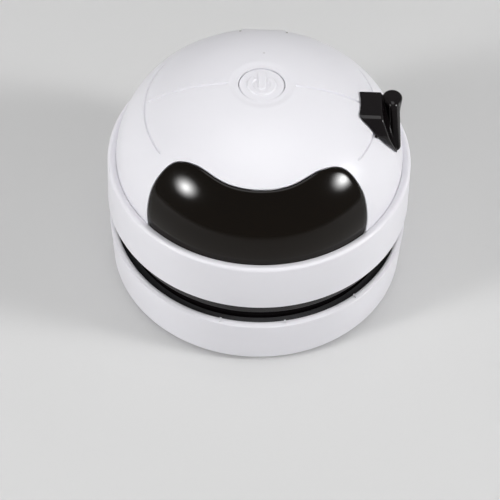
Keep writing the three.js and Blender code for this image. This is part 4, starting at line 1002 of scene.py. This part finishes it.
def bristle_tree():
    """Tufts of tapered strands on rings under a backing, each strand leaning a little its own way."""
    inputs = {"Tufts": "Int", "Rows": "Int", "Strands": "Int", "Radius": "Float", "Row Pitch": "Float",
              "Tuft Radius": "Float", "Root": "Float", "Length": "Float", "Strand Radius": "Float",
              "Seed": "Int", "Material": "Material"}
    graph, given = new_tree("Bristle ring", inputs)
    index = graph.wire("GeometryNodeInputIndex")
    tuft = (index / given["Strands"]).maths("FLOOR")
    row = (tuft / given["Tufts"]).maths("FLOOR")
    turn = (tuft + row * 0.5) / given["Tufts"] * (2 * math.pi)
    reach = given["Radius"] + (row - (given["Rows"] - 1) * 0.5) * given["Row Pitch"]

    def chance(low, high, seed):
        return graph.wire("FunctionNodeRandomValue", {"data_type": "FLOAT"},
                          {2: low, 3: high, "ID": index, "Seed": given["Seed"] + seed}, out=1)

    spread = chance(0.0, 1.0, 1) ** 0.5 * given["Tuft Radius"]
    way = chance(0.0, 2 * math.pi, 2)
    x = turn.maths("COSINE") * reach + way.maths("COSINE") * spread
    y = turn.maths("SINE") * reach + way.maths("SINE") * spread
    place = graph.wire("ShaderNodeCombineXYZ", None, {0: x, 1: y, 2: given["Root"]})
    lean = graph.wire("ShaderNodeCombineXYZ", None,
                      {0: math.pi + chance(-BRISTLE_LEAN, BRISTLE_LEAN, 3),
                       1: chance(-BRISTLE_LEAN, BRISTLE_LEAN, 4)})
    total = given["Tufts"] * given["Rows"] * given["Strands"]
    points = graph.wire("GeometryNodePoints", None, {"Count": total, "Position": place})
    strand = graph.wire(
        "GeometryNodeMeshCone", None,
        {"Vertices": 5, "Radius Top": given["Strand Radius"] * 0.6,
         "Radius Bottom": given["Strand Radius"], "Depth": given["Length"]},
    )
    copies = graph.wire("GeometryNodeInstanceOnPoints", None, {
        "Points": points, "Instance": strand, "Rotation": lean,
        "Scale": graph.wire("ShaderNodeCombineXYZ", None, {0: 1.0, 1: 1.0, 2: chance(0.93, 1.0, 5)})})
    return close_tree(graph, copies, given["Material"])


def screw_template():
    """A pan-head screw that points down, with a cross recess."""
    body = turned_closed("screw", filleted(SCREW_SECTION, steps=4))
    arm, half = RECESS_ARM, RECESS_HALF_WIDTH
    cross = [(half, half), (half, arm), (-half, arm), (-half, half), (-arm, half), (-arm, -half),
             (-half, -half), (-half, -arm), (half, -arm), (half, -half), (arm, -half), (arm, half)]
    return cut(body, "DIFFERENCE", prism("recess", cross, *RECESS_SPAN))


def upside_down(obj, level):
    """Turns a template over and lifts it."""
    obj.data.transform(Matrix.Translation((0, 0, level)) @ Matrix.Rotation(math.pi, 4, "X"))
    return obj


def smooth_solid(obj, voxel, passes):
    """Melts a solid's edges a little, as a mould's draft and fillets do."""
    remesh = obj.modifiers.new("remesh", "REMESH")
    remesh.mode = "VOXEL"
    remesh.voxel_size = voxel
    soften = obj.modifiers.new("soften", "SMOOTH")
    soften.factor = 0.5
    soften.iterations = passes
    return plain(obj)


def bevelled(obj, width, steps=3, over=math.radians(25)):
    """Rounds the edges whose faces turn by more than an angle."""
    modifier = obj.modifiers.new("bevel", "BEVEL")
    modifier.width = width
    modifier.segments = steps
    modifier.limit_method = "ANGLE"
    modifier.angle_limit = over
    return plain(obj)


class VACUUM_OT_inner_pieces(bpy.types.Operator):
    """Finishes on the pieces inside, which keep the frame's shapes"""
    bl_idname = "vacuum.inner_pieces"
    bl_label = "Inner pieces"

    def execute(self, context):
        for entry in frame["record"]["subparts"]:
            node = frame["nodes"][entry["node"]]
            node.data.materials.clear()
            node.data.materials.append(finish_of(entry["material_slot"]))
        return {"FINISHED"}


class VACUUM_OT_dome_cover(bpy.types.Operator):
    """Domed top cover with its seams, the dish, the window's seat, the port and the hood's hole"""
    bl_idname = "vacuum.dome_cover"
    bl_label = "Dome cover"

    def execute(self, context):
        settings = context.scene.vacuum_settings
        cover = dome_skin(settings)
        cavity = dome_solid("cavity", -DOME_WALL, DOME_FOOT - OVERRUN)
        seat_back = -WINDOW_THICKNESS - SEAT_DEPTH
        seat = window_solid("seat", SEAT_WIDTH, -0.5 * DOME_WALL, seat_back, SEAT_ROUND)
        cut(cavity, "DIFFERENCE", seat)
        cut(cover, "DIFFERENCE", cavity)
        pocket_back = -WINDOW_THICKNESS - FIT_GAP
        pocket = window_solid("pocket", settings.window_gap, OVERRUN, pocket_back, POCKET_ROUND)
        cut(cover, "DIFFERENCE", pocket)
        port = along_x("port", port_outline(FIT_GAP), PLUG_ROOT_REACH, PORT_END)
        half = HOOD_HALF_WIDTH + HOOD_GAP
        hood = block("hood", (-half, *HOOD_HOLE[0]), (half, *HOOD_HOLE[1]))
        cut(cover, "DIFFERENCE", port, hood)
        bosses = bars_round(*COVER_BOSS, "white_shell", COVER_SCREWS)
        inside = dome_solid("inside", -DOME_WALL / 2, COVER_BOSS_LIMIT, segments=INNER_SEGMENTS)
        cut(cover, "UNION", cut(bosses, "INTERSECT", inside))
        show(cover, "upper_body", "white_shell", "dome_cover")
        return {"FINISHED"}


class VACUUM_OT_window(bpy.types.Operator):
    """Smoked window let into the front of the dome"""
    bl_idname = "vacuum.window"
    bl_label = "Window"

    def execute(self, context):
        pane = window_solid(
            "finished_window", 0, WINDOW_RISE, -WINDOW_THICKNESS, WINDOW_EDGE_ROUND, WINDOW_RINGS)
        show(pane, "upper_body", "smoked_window", "visor", sharp=CURVED_SHARP_OVER)
        return {"FINISHED"}


class VACUUM_OT_skirt(bpy.types.Operator):
    """Ring round the dome's foot with a rounded lip"""
    bl_idname = "vacuum.skirt"
    bl_label = "Skirt ring"

    def execute(self, context):
        skirt = turned("finished_skirt", SKIRT_SECTION, "white_shell")
        show(skirt, "upper_body", "white_shell", "skirt_ring")
        return {"FINISHED"}


class VACUUM_OT_collar(bpy.types.Operator):
    """Gloss black collar with its sealing flange, bayonet lugs and exhaust slots"""
    bl_idname = "vacuum.collar"
    bl_label = "Collar"

    def execute(self, context):
        collar = turned("finished_collar", COLLAR_SECTION, "black_gloss")
        lug = arc_block("lug", *LUG, -LUG_HALF_SWEEP, LUG_HALF_SWEEP)
        slot = arc_block("slot", *SLOT, -SLOT_HALF_SWEEP, SLOT_HALF_SWEEP)
        slots = repeated("slots", slot, "black_gloss", SLOT_COUNT, SLOT_START, pitch=SLOT_PITCH)
        holes = bars_round(*COVER_BORE, "black_gloss", COVER_SCREWS)
        cut(collar, "UNION", repeated("lugs", lug, "black_gloss", **BAYONET))
        cut(collar, "DIFFERENCE", slots, block("duct", *DUCT_SPACE), holes)
        show(collar, "upper_body", "black_gloss", "collar")
        return {"FINISHED"}


def power_sign(x, y):
    """Height share of the raised sign: an open ring with an upright bar in its gap."""
    def soft(distance):
        t = min(max(0.5 - distance / SIGN_SLOPE, 0), 1)
        return t * t * (3 - 2 * t)

    from_axis = math.hypot(x, y)
    angle = abs(math.atan2(x, y))
    ring = abs(from_axis - SIGN_RADIUS) - SIGN_RING_HALF
    into_gap = (SIGN_GAP_HALF - angle) * from_axis if y > 0 else -1.0
    bar = math.hypot(x, y - min(max(y, SIGN_BAR_LOW), SIGN_BAR_HIGH)) - SIGN_BAR_HALF
    return max(soft(max(ring, into_gap)), soft(bar))


class VACUUM_OT_button(bpy.types.Operator):
    """Round button with a softly raised power sign"""
    bl_idname = "vacuum.button"
    bl_label = "Button"

    def execute(self, context):
        relief = context.scene.vacuum_settings.symbol_relief
        flat = BUTTON_RADIUS - BUTTON_EDGE_ROUND
        rings = []
        for step in range(1, BUTTON_RINGS + 1):
            radius = flat * step / BUTTON_RINGS
            level = BUTTON_TOP - BUTTON_CROWN * (radius / BUTTON_RADIUS) ** 2
            spots = circle(radius, level, BUTTON_COLUMNS)
            rings.append([(x, y, z + relief * power_sign(x, y)) for x, y, z in spots])
        edge = []
        for step in range(1, FILLET_STEPS + 1):
            angle = QUARTER_TURN * step / FILLET_STEPS
            edge.append((flat + BUTTON_EDGE_ROUND * math.sin(angle),
                         BUTTON_EDGE_TOP - BUTTON_EDGE_ROUND * (1 - math.cos(angle))))
        edge += [(BUTTON_RADIUS, BUTTON_FLANGE_TOP), (BUTTON_FLANGE_RADIUS, BUTTON_FLANGE_TOP),
                 (BUTTON_FLANGE_RADIUS, BUTTON_FOOT)]
        rings += [circle(radius, height, BUTTON_COLUMNS) for radius, height in edge]
        crown = (0, 0, BUTTON_TOP + relief * power_sign(0, 0))
        button = lofted("finished_button", rings, crown, (0, 0, BUTTON_FOOT))
        show(button, "button", "white_shell", "power_button", sharp=CURVED_SHARP_OVER)
        return {"FINISHED"}


def teardrop(tip_x, tip_y):
    """The outline of the plug's grip: a round head and a slimmer tip."""
    dx, dy = GRIP_REACH - tip_x, GRIP_Y - tip_y
    spread = math.acos((GRIP_RADIUS - GRIP_TIP_RADIUS) / math.hypot(dx, dy))
    back = math.atan2(-dy, -dx)
    head = [back + spread + i / GRIP_HEAD_STEPS * 2 * (math.pi - spread)
            for i in range(GRIP_HEAD_STEPS + 1)]
    tip = [back - spread + i / GRIP_TIP_STEPS * 2 * spread for i in range(GRIP_TIP_STEPS + 1)]
    outline = [(GRIP_REACH + GRIP_RADIUS * math.cos(a), GRIP_Y + GRIP_RADIUS * math.sin(a)) for a in head]
    outline += [(tip_x + GRIP_TIP_RADIUS * math.cos(a), tip_y + GRIP_TIP_RADIUS * math.sin(a)) for a in tip]
    return outline


def grip_solid():
    """The plug's grip: a teardrop that grows towards its foot."""
    foot = teardrop(*GRIP_TIP)
    top = teardrop(GRIP_REACH, GRIP_Y + GRIP_TOP_SHARE * (GRIP_TIP.y - GRIP_Y))
    return skinned("grip", [(x, y, PLUG_FOOT) for x, y in foot], [(x, y, PLUG_TOP) for x, y in top])


class VACUUM_OT_plug(bpy.types.Operator):
    """Plug of the side port with its teardrop grip"""
    bl_idname = "vacuum.plug"
    bl_label = "Port plug"

    def execute(self, context):
        side = [(PLUG_ROOT_REACH, PLUG_FOOT), (PLUG_TIP_REACH, PLUG_FOOT),
                (PLUG_TOP_REACH, PLUG_TOP), (PLUG_ROOT_REACH, PLUG_TOP)]
        body = along_y("finished_plug", side, -PLUG_HALF_WIDTH, PLUG_HALF_WIDTH)
        cut(body, "INTERSECT", along_x("face", filleted(PLUG_FACE, steps=8), *PLUG_FACE_SPAN))
        bevelled(body, PLUG_EDGE_ROUND, steps=4)
        cut(body, "UNION", bevelled(grip_solid(), GRIP_EDGE_ROUND, steps=6, over=GRIP_BEVEL_ANGLE))
        cut(body, "UNION", block("tab", *PLUG_TAB))
        cut(body, "DIFFERENCE", dome_solid("outside", FIT_GAP, DOME_FOOT))
        shank = along_x("shank", port_outline(0), *SHANK_SPAN)
        cut(shank, "INTERSECT", dome_solid("under", SHANK_COVER, DOME_FOOT, segments=INNER_SEGMENTS))
        cut(body, "UNION", shank)
        hollow = along_x("hollow", port_outline(-SHANK_WALL), PLUG_ROOT_REACH, HOLLOW_END)
        cut(body, "DIFFERENCE", hollow)
        smooth_solid(body, PLUG_VOXEL, PLUG_SMOOTHING)
        show(body, "plug", "black_gloss", "port_plug", sharp=MELTED_SHARP_OVER)
        return {"FINISHED"}


class VACUUM_OT_hood(bpy.types.Operator):
    """Hood at the back over the charging socket"""
    bl_idname = "vacuum.hood"
    bl_label = "Charging hood"

    def execute(self, context):
        hood = along_x("finished_hood", HOOD_PROFILE, -HOOD_HALF_WIDTH, HOOD_HALF_WIDTH)
        bevelled(hood, HOOD_EDGE_ROUND)
        inner = [(y - HOOD_WALL, z - HOOD_WALL) for y, z in HOOD_PROFILE]
        inner[0] = (HOOD_OPEN_Y, HOOD_PROFILE[0][1] + HOOD_WALL)
        inner[1] = (HOOD_PROFILE[1][0] - HOOD_WALL, HOOD_PROFILE[1][1] + HOOD_WALL)
        inner[-1] = (HOOD_OPEN_Y, HOOD_PROFILE[-1][1] - HOOD_WALL)
        width = HOOD_HALF_WIDTH - HOOD_WALL
        mouth = along_y("mouth", socket_outline(2 * SOCKET_WALL, MOUTH_ROUND), *MOUTH_SPAN)
        cut(hood, "DIFFERENCE", along_x("cavity", inner, -width, width), mouth)
        show(hood, "upper_body", "white_shell", "charge_hood")
        return {"FINISHED"}


class VACUUM_OT_charge_socket(bpy.types.Operator):
    """Plated shell of the charging socket with its tongue"""
    bl_idname = "vacuum.charge_socket"
    bl_label = "Charging socket"

    def execute(self, context):
        low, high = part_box("charge_socket")
        shell = along_y("finished_socket", socket_outline(0, SOCKET_ROUND), low.y, high.y)
        bore = socket_outline(-2 * SOCKET_WALL, SOCKET_INNER_ROUND)
        cut(shell, "DIFFERENCE", along_y("bore", bore, low.y + SOCKET_BACK, high.y + OVERRUN))
        back, front = low.y + TONGUE_INSETS[0], high.y - TONGUE_INSETS[1]
        tongue = block("tongue", (-TONGUE_HALF_WIDTH, back, SOCKET_Z - TONGUE_HALF_HEIGHT),
                       (TONGUE_HALF_WIDTH, front, SOCKET_Z + TONGUE_HALF_HEIGHT))
        cut(shell, "UNION", tongue)
        show(shell, "upper_body", "plated_steel", "charge_socket")
        return {"FINISHED"}


def rim_rib(azimuth):
    """A tiny rib on the cup's rim, at an azimuth in degrees off the front."""
    middle = math.radians(azimuth - 90)
    return arc_block("rib", *RIB, middle - RIB_HALF_SWEEP, middle + RIB_HALF_SWEEP)


class VACUUM_OT_dust_box(bpy.types.Operator):
    """Lower cup with its bayonet ledges, its rim ribs and the pits of its feet"""
    bl_idname = "vacuum.dust_box"
    bl_label = "Dust box"

    def execute(self, context):
        cup = turned("finished_cup", CUP_SECTION, "white_shell")
        shelf = arc_block("shelf", *SHELF, SHELF_START, SHELF_END)
        ledge = cut(shelf, "UNION", arc_block("tooth", *TOOTH, SHELF_START, TOOTH_END, steps=3))
        ledges = repeated("ledges", ledge, "white_shell", **BAYONET)
        rib, *others = [rim_rib(azimuth) for azimuth in RIB_AZIMUTHS]
        ribs = repeated("ribs", cut(rib, "UNION", *others), "white_shell", count=2, start=0.0)
        cut(cup, "UNION", ledges, ribs)
        cut(cup, "DIFFERENCE", bars_round(*FOOT_PIT, "white_shell", FEET))
        show(cup, "lower_cup", "white_shell", "dust_box")
        return {"FINISHED"}


class VACUUM_OT_box_floor(bpy.types.Operator):
    """Floor of the dust box with its screw bosses"""
    bl_idname = "vacuum.box_floor"
    bl_label = "Dust box floor"

    def execute(self, context):
        floor = turned("finished_floor", FLOOR_SECTION, "white_shell")
        cut(floor, "UNION", bars_round(*FLOOR_BOSS, "white_shell", CARRIER_SCREWS))
        cut(floor, "DIFFERENCE", bars_round(*FLOOR_BORE, "white_shell", CARRIER_SCREWS))
        show(floor, "lower_cup", "white_shell", "box_floor")
        return {"FINISHED"}


class VACUUM_OT_box_seal(bpy.types.Operator):
    """Sealing ring between the collar and the dust box"""
    bl_idname = "vacuum.box_seal"
    bl_label = "Seal"

    def execute(self, context):
        seal = turned("finished_seal", SEAL_SECTION, "black_rubber")
        show(seal, "upper_body", "black_rubber", "box_seal")
        return {"FINISHED"}


class VACUUM_OT_intake_tube(bpy.types.Operator):
    """Inlet tube that lifts the dust over the floor"""
    bl_idname = "vacuum.intake_tube"
    bl_label = "Intake tube"

    def execute(self, context):
        tube = turned("finished_tube", TUBE_SECTION, "grey_plastic", INNER_SEGMENTS)
        show(tube, "lower_cup", "grey_plastic", "intake_tube")
        return {"FINISHED"}


class VACUUM_OT_brush_carrier(bpy.types.Operator):
    """Plate under the dust box that carries the brush ring, with its screws' seats"""
    bl_idname = "vacuum.brush_carrier"
    bl_label = "Brush carrier"

    def execute(self, context):
        plate = turned("finished_plate", CARRIER_SECTION, "black_plastic")
        seats = bars_round(*CARRIER_SEAT, "black_plastic", CARRIER_SCREWS)
        bores = bars_round(*CARRIER_BORE, "black_plastic", CARRIER_SCREWS)
        cut(plate, "DIFFERENCE", seats, bores)
        show(plate, "lower_cup", "black_plastic", "brush_carrier")
        return {"FINISHED"}


def join_meshes(obj, other):
    """Adds another object's faces to an object's own mesh."""
    form = bmesh.new()
    form.from_mesh(obj.data)
    form.from_mesh(other.data)
    form.to_mesh(obj.data)
    form.free()
    bpy.data.objects.remove(other)


class VACUUM_OT_brush_ring(bpy.types.Operator):
    """Ring of bristles on its backing"""
    bl_idname = "vacuum.brush_ring"
    bl_label = "Brush ring"

    def execute(self, context):
        settings = context.scene.vacuum_settings
        backing = turned("finished_brush", BRUSH_SECTION, "nylon_bristle")
        bristles = mesh_object("bristles", (), ())
        grow_by_nodes(bristles, bristle_tree(), {
            "Tufts": settings.tufts, "Rows": BRUSH_ROWS, "Strands": settings.strands,
            "Radius": BRUSH_RADIUS, "Row Pitch": BRUSH_ROW_PITCH, "Tuft Radius": TUFT_RADIUS,
            "Root": BRISTLE_ROOT, "Length": BRISTLE_ROOT - BRISTLE_TIP,
            "Strand Radius": BRISTLE_RADIUS, "Seed": BRUSH_SEED,
            "Material": finish_of("nylon_bristle")})
        join_meshes(backing, bristles)
        show(backing, "lower_cup", "nylon_bristle", "brush_ring")
        return {"FINISHED"}


class VACUUM_OT_carrier_screws(bpy.types.Operator):
    """Screws of the brush carrier"""
    bl_idname = "vacuum.carrier_screws"
    bl_label = "Carrier screws"

    def execute(self, context):
        screw = upside_down(screw_template(), SCREW_SEAT)
        screws = repeated("finished_screws", screw, "plated_steel", **CARRIER_SCREWS)
        show(screws, "lower_cup", "plated_steel", "carrier_screw_1", "carrier_screw_2", "carrier_screw_3")
        return {"FINISHED"}


class VACUUM_OT_feet(bpy.types.Operator):
    """Rubber feet under the dust box"""
    bl_idname = "vacuum.feet"
    bl_label = "Feet"

    def execute(self, context):
        pad = turned_closed("pad", filleted(FOOT_SECTION))
        feet = repeated("finished_feet", pad, "black_rubber", **FEET)
        show(feet, "lower_cup", "black_rubber", "foot_1", "foot_2", "foot_3", "foot_4")
        return {"FINISHED"}


def lay_table(settings):
    """A plain pale table top."""
    rim = [(-TABLE_REACH, -TABLE_REACH, 0), (TABLE_REACH, -TABLE_REACH, 0),
           (TABLE_REACH, TABLE_REACH, 0), (-TABLE_REACH, TABLE_REACH, 0)]
    table = mesh_object("table", rim, [(0, 1, 2, 3)])
    top = Finish("table_top", Specular_IOR_Level=0.1)
    top.set("Base Color", opaque(settings.table))
    top.set("Roughness", 0.9 + 0.05 * top.noise(30, 2))
    table.data.materials.append(top.material)


def aimed(holder, place, aim):
    """Puts a lamp in its place, turned towards what it lights."""
    holder.location = place
    holder.rotation_euler = (aim - place).to_track_quat("-Z", "Y").to_euler()


def soft_lamp(name, place, aim, glow, radius):
    """A round diffuser lit from behind, brightest in its middle."""
    disk = mesh_object(name, circle(radius, 0, SMALL_SEGMENTS), [range(SMALL_SEGMENTS)])
    cloth = Finish(name + "_cloth", Emission_Strength=glow, Specular_IOR_Level=0.0)
    from_middle = cloth.wire("ShaderNodeVectorMath", {"operation": "LENGTH"}, {0: cloth.place}, out="Value")
    edge = 1 - (1 - from_middle / radius).clamped() ** LAMP_FALLOFF
    cloth.set("Base Color", (0, 0, 0, 1))
    cloth.set("Emission Color", cloth.blend(edge, (1, 1, 1, 1), (0, 0, 0, 1)))
    disk.data.materials.append(cloth.material)
    aimed(disk, place, aim)


def overhead_lamp(place, aim, power, width):
    """A wide round soft light over the table."""
    light = bpy.data.lights.new("overhead_lamp", "AREA")
    light.shape = "DISK"
    light.size = width
    light.energy = power
    holder = bpy.data.objects.new("overhead_lamp", light)
    bpy.context.scene.collection.objects.link(holder)
    aimed(holder, place, aim)


def light_world(scene, brightness):
    """White surroundings, shown without a film curve."""
    world = bpy.data.worlds.new("studio")
    world.use_nodes = True
    background = world.node_tree.nodes["Background"]
    background.inputs["Color"].default_value = (1, 1, 1, 1)
    background.inputs["Strength"].default_value = brightness
    scene.world = world
    scene.view_settings.view_transform = "Standard"


def place_camera(scene, settings):
    """The camera, tilted down onto the object from the front."""
    data = bpy.data.cameras.new("camera")
    data.lens = settings.lens
    data.sensor_width = SENSOR_WIDTH
    data.clip_start = 0.01
    camera = bpy.data.objects.new("camera", data)
    scene.collection.objects.link(camera)
    tilt = settings.camera_tilt
    camera.location = Vector((0, -settings.distance * math.cos(tilt),
                              MIDDLE_HEIGHT + settings.distance * math.sin(tilt)))
    forward = (Vector(settings.aim) - camera.location).normalized()
    right = forward.cross(Vector((0, 0, 1))).normalized()
    up = right.cross(forward)
    c, s = math.cos(settings.roll), math.sin(settings.roll)
    axes = Matrix((c * right + s * up, -s * right + c * up, -forward)).transposed()
    camera.rotation_euler = axes.to_euler()
    scene.camera = camera


class VACUUM_OT_stage(bpy.types.Operator):
    """Pale table, two round soft lamps, an overhead soft light and the camera"""
    bl_idname = "vacuum.stage"
    bl_label = "Stage"

    def execute(self, context):
        settings = context.scene.vacuum_stage
        lay_table(settings)
        middle = Vector((0, 0, MIDDLE_HEIGHT))
        for name, azimuth, elevation, share in SIDE_LAMPS:
            a, e = math.radians(azimuth), math.radians(elevation)
            way = Vector((math.sin(a) * math.cos(e), -math.cos(a) * math.cos(e), math.sin(e)))
            place = middle + way * SIDE_LAMP_REACH
            soft_lamp(name, place, middle, share * settings.side_glow, settings.side_width / 2)
        overhead_lamp(OVERHEAD_PLACE, middle, settings.top_power, OVERHEAD_WIDTH)
        light_world(context.scene, settings.world_light)
        place_camera(context.scene, settings)
        return {"FINISHED"}


def colour(name, value, about):
    return FloatVectorProperty(name=name, description=about, default=value, size=3, subtype="COLOR",
                               min=0, max=1)


def length(name, value, about):
    return FloatProperty(name=name, description=about, default=value, unit="LENGTH")


def amount(name, value, about, **kind):
    return FloatProperty(name=name, description=about, default=value, **kind)


def count(name, value, about):
    return IntProperty(name=name, description=about, default=value)


class VacuumColours(bpy.types.PropertyGroup):
    white: colour("Shell", (0.80, 0.792, 0.832), "Moulded shell")
    smoke: colour("Window", (0.0048, 0.0024, 0.0004), "Smoked window near its foot")
    black: colour("Gloss black", (0.004, 0.003, 0.0034), "Collar and plug")
    rubber: colour("Rubber", (0.03, 0.03, 0.032), "Feet and seal")
    grey: colour("Grey", (0.2, 0.21, 0.22), "Inner mouldings")
    nylon: colour("Nylon", (0.03, 0.03, 0.035), "Bristles")
    fleece: colour("Fleece", (0.72, 0.73, 0.74), "Filter")
    steel: colour("Steel", (0.62, 0.62, 0.64), "Screws, shaft and motor can")
    board: colour("Board", (0.012, 0.07, 0.035), "Circuit boards")
    sleeve: colour("Sleeve", (0.03, 0.13, 0.4), "Battery sleeve")


class VacuumSettings(bpy.types.PropertyGroup):
    bore: length("Button bore", BUTTON_RADIUS + 0.17 * MM, "Radius of the dome's hole for the button")
    groove_width: length("Seam width", 0.8 * MM, "Width of the fine seams")
    groove_depth: length("Seam depth", 0.5 * MM, "Depth of the fine seams")
    dish_depth: length("Dish depth", 0.25 * MM, "Depth of the dish round the button")
    symbol_relief: length("Sign relief", 0.33 * MM, "Height of the power sign")
    window_gap: length("Window gap", 0.16 * MM, "Joint round the window")
    rings: count("Rings", 56, "Even rings up the dome")
    columns: count("Columns", 96, "Steps round each half of the dome")
    tufts: count("Tufts", 36, "Bristle tufts in a row")
    strands: count("Strands", 22, "Strands in a tuft")


class VacuumStage(bpy.types.PropertyGroup):
    table: colour("Table", (0.64, 0.64, 0.64), "Table top")
    side_glow: amount("Side lamps", 70, "Brightness in the middle of the side lamps")
    side_width: length("Side lamp width", 0.38, "Across a side lamp")
    top_power: amount("Overhead", 3.4, "Overhead light", unit="POWER")
    world_light: amount("World", 0.28, "Brightness of the surroundings")
    lens: amount("Lens", 101.86, "Focal length in mm")
    distance: length("Distance", 0.4, "From the dome's middle")
    camera_tilt: amount("Tilt", 0.83265, "Elevation", subtype="ANGLE")
    roll: amount("Roll", 0.02993, "Roll of the camera", subtype="ANGLE")
    aim: FloatVectorProperty(name="Aim", description="What the camera looks at", size=3,
                             default=(-0.001805, 0, -0.002589), unit="LENGTH")


OPERATORS = (
    VACUUM_OT_inner_pieces, VACUUM_OT_dome_cover, VACUUM_OT_window, VACUUM_OT_skirt, VACUUM_OT_collar,
    VACUUM_OT_button, VACUUM_OT_plug, VACUUM_OT_hood, VACUUM_OT_charge_socket, VACUUM_OT_dust_box,
    VACUUM_OT_box_floor, VACUUM_OT_box_seal, VACUUM_OT_intake_tube, VACUUM_OT_brush_carrier,
    VACUUM_OT_brush_ring, VACUUM_OT_carrier_screws, VACUUM_OT_feet, VACUUM_OT_stage,
)


class VACUUM_PT_panel(bpy.types.Panel):
    """Steps and settings of the vacuum cleaner"""
    bl_idname = "VACUUM_PT_panel"
    bl_label = "Desktop vacuum"
    bl_space_type = "VIEW_3D"
    bl_region_type = "UI"
    bl_category = "Vacuum"

    def draw(self, context):
        for operator in OPERATORS:
            self.layout.operator(operator.bl_idname)
        for group in (context.scene.vacuum_settings, context.scene.vacuum_stage,
                      context.scene.vacuum_colours):
            box = self.layout.box()
            for name in group.__annotations__:
                box.prop(group, name)


GROUPS = {"vacuum_colours": VacuumColours, "vacuum_settings": VacuumSettings, "vacuum_stage": VacuumStage}
CLASSES = (*GROUPS.values(), *OPERATORS, VACUUM_PT_panel)


def register():
    for each in CLASSES:
        bpy.utils.register_class(each)
    for name, group in GROUPS.items():
        setattr(bpy.types.Scene, name, PointerProperty(type=group))


def unregister():
    for name in GROUPS:
        delattr(bpy.types.Scene, name)
    for each in reversed(CLASSES):
        bpy.utils.unregister_class(each)


def main():
    register()
    for operator in OPERATORS:
        getattr(bpy.ops.vacuum, operator.bl_idname.partition(".")[2])()


if __name__ == "__main__":
    main()
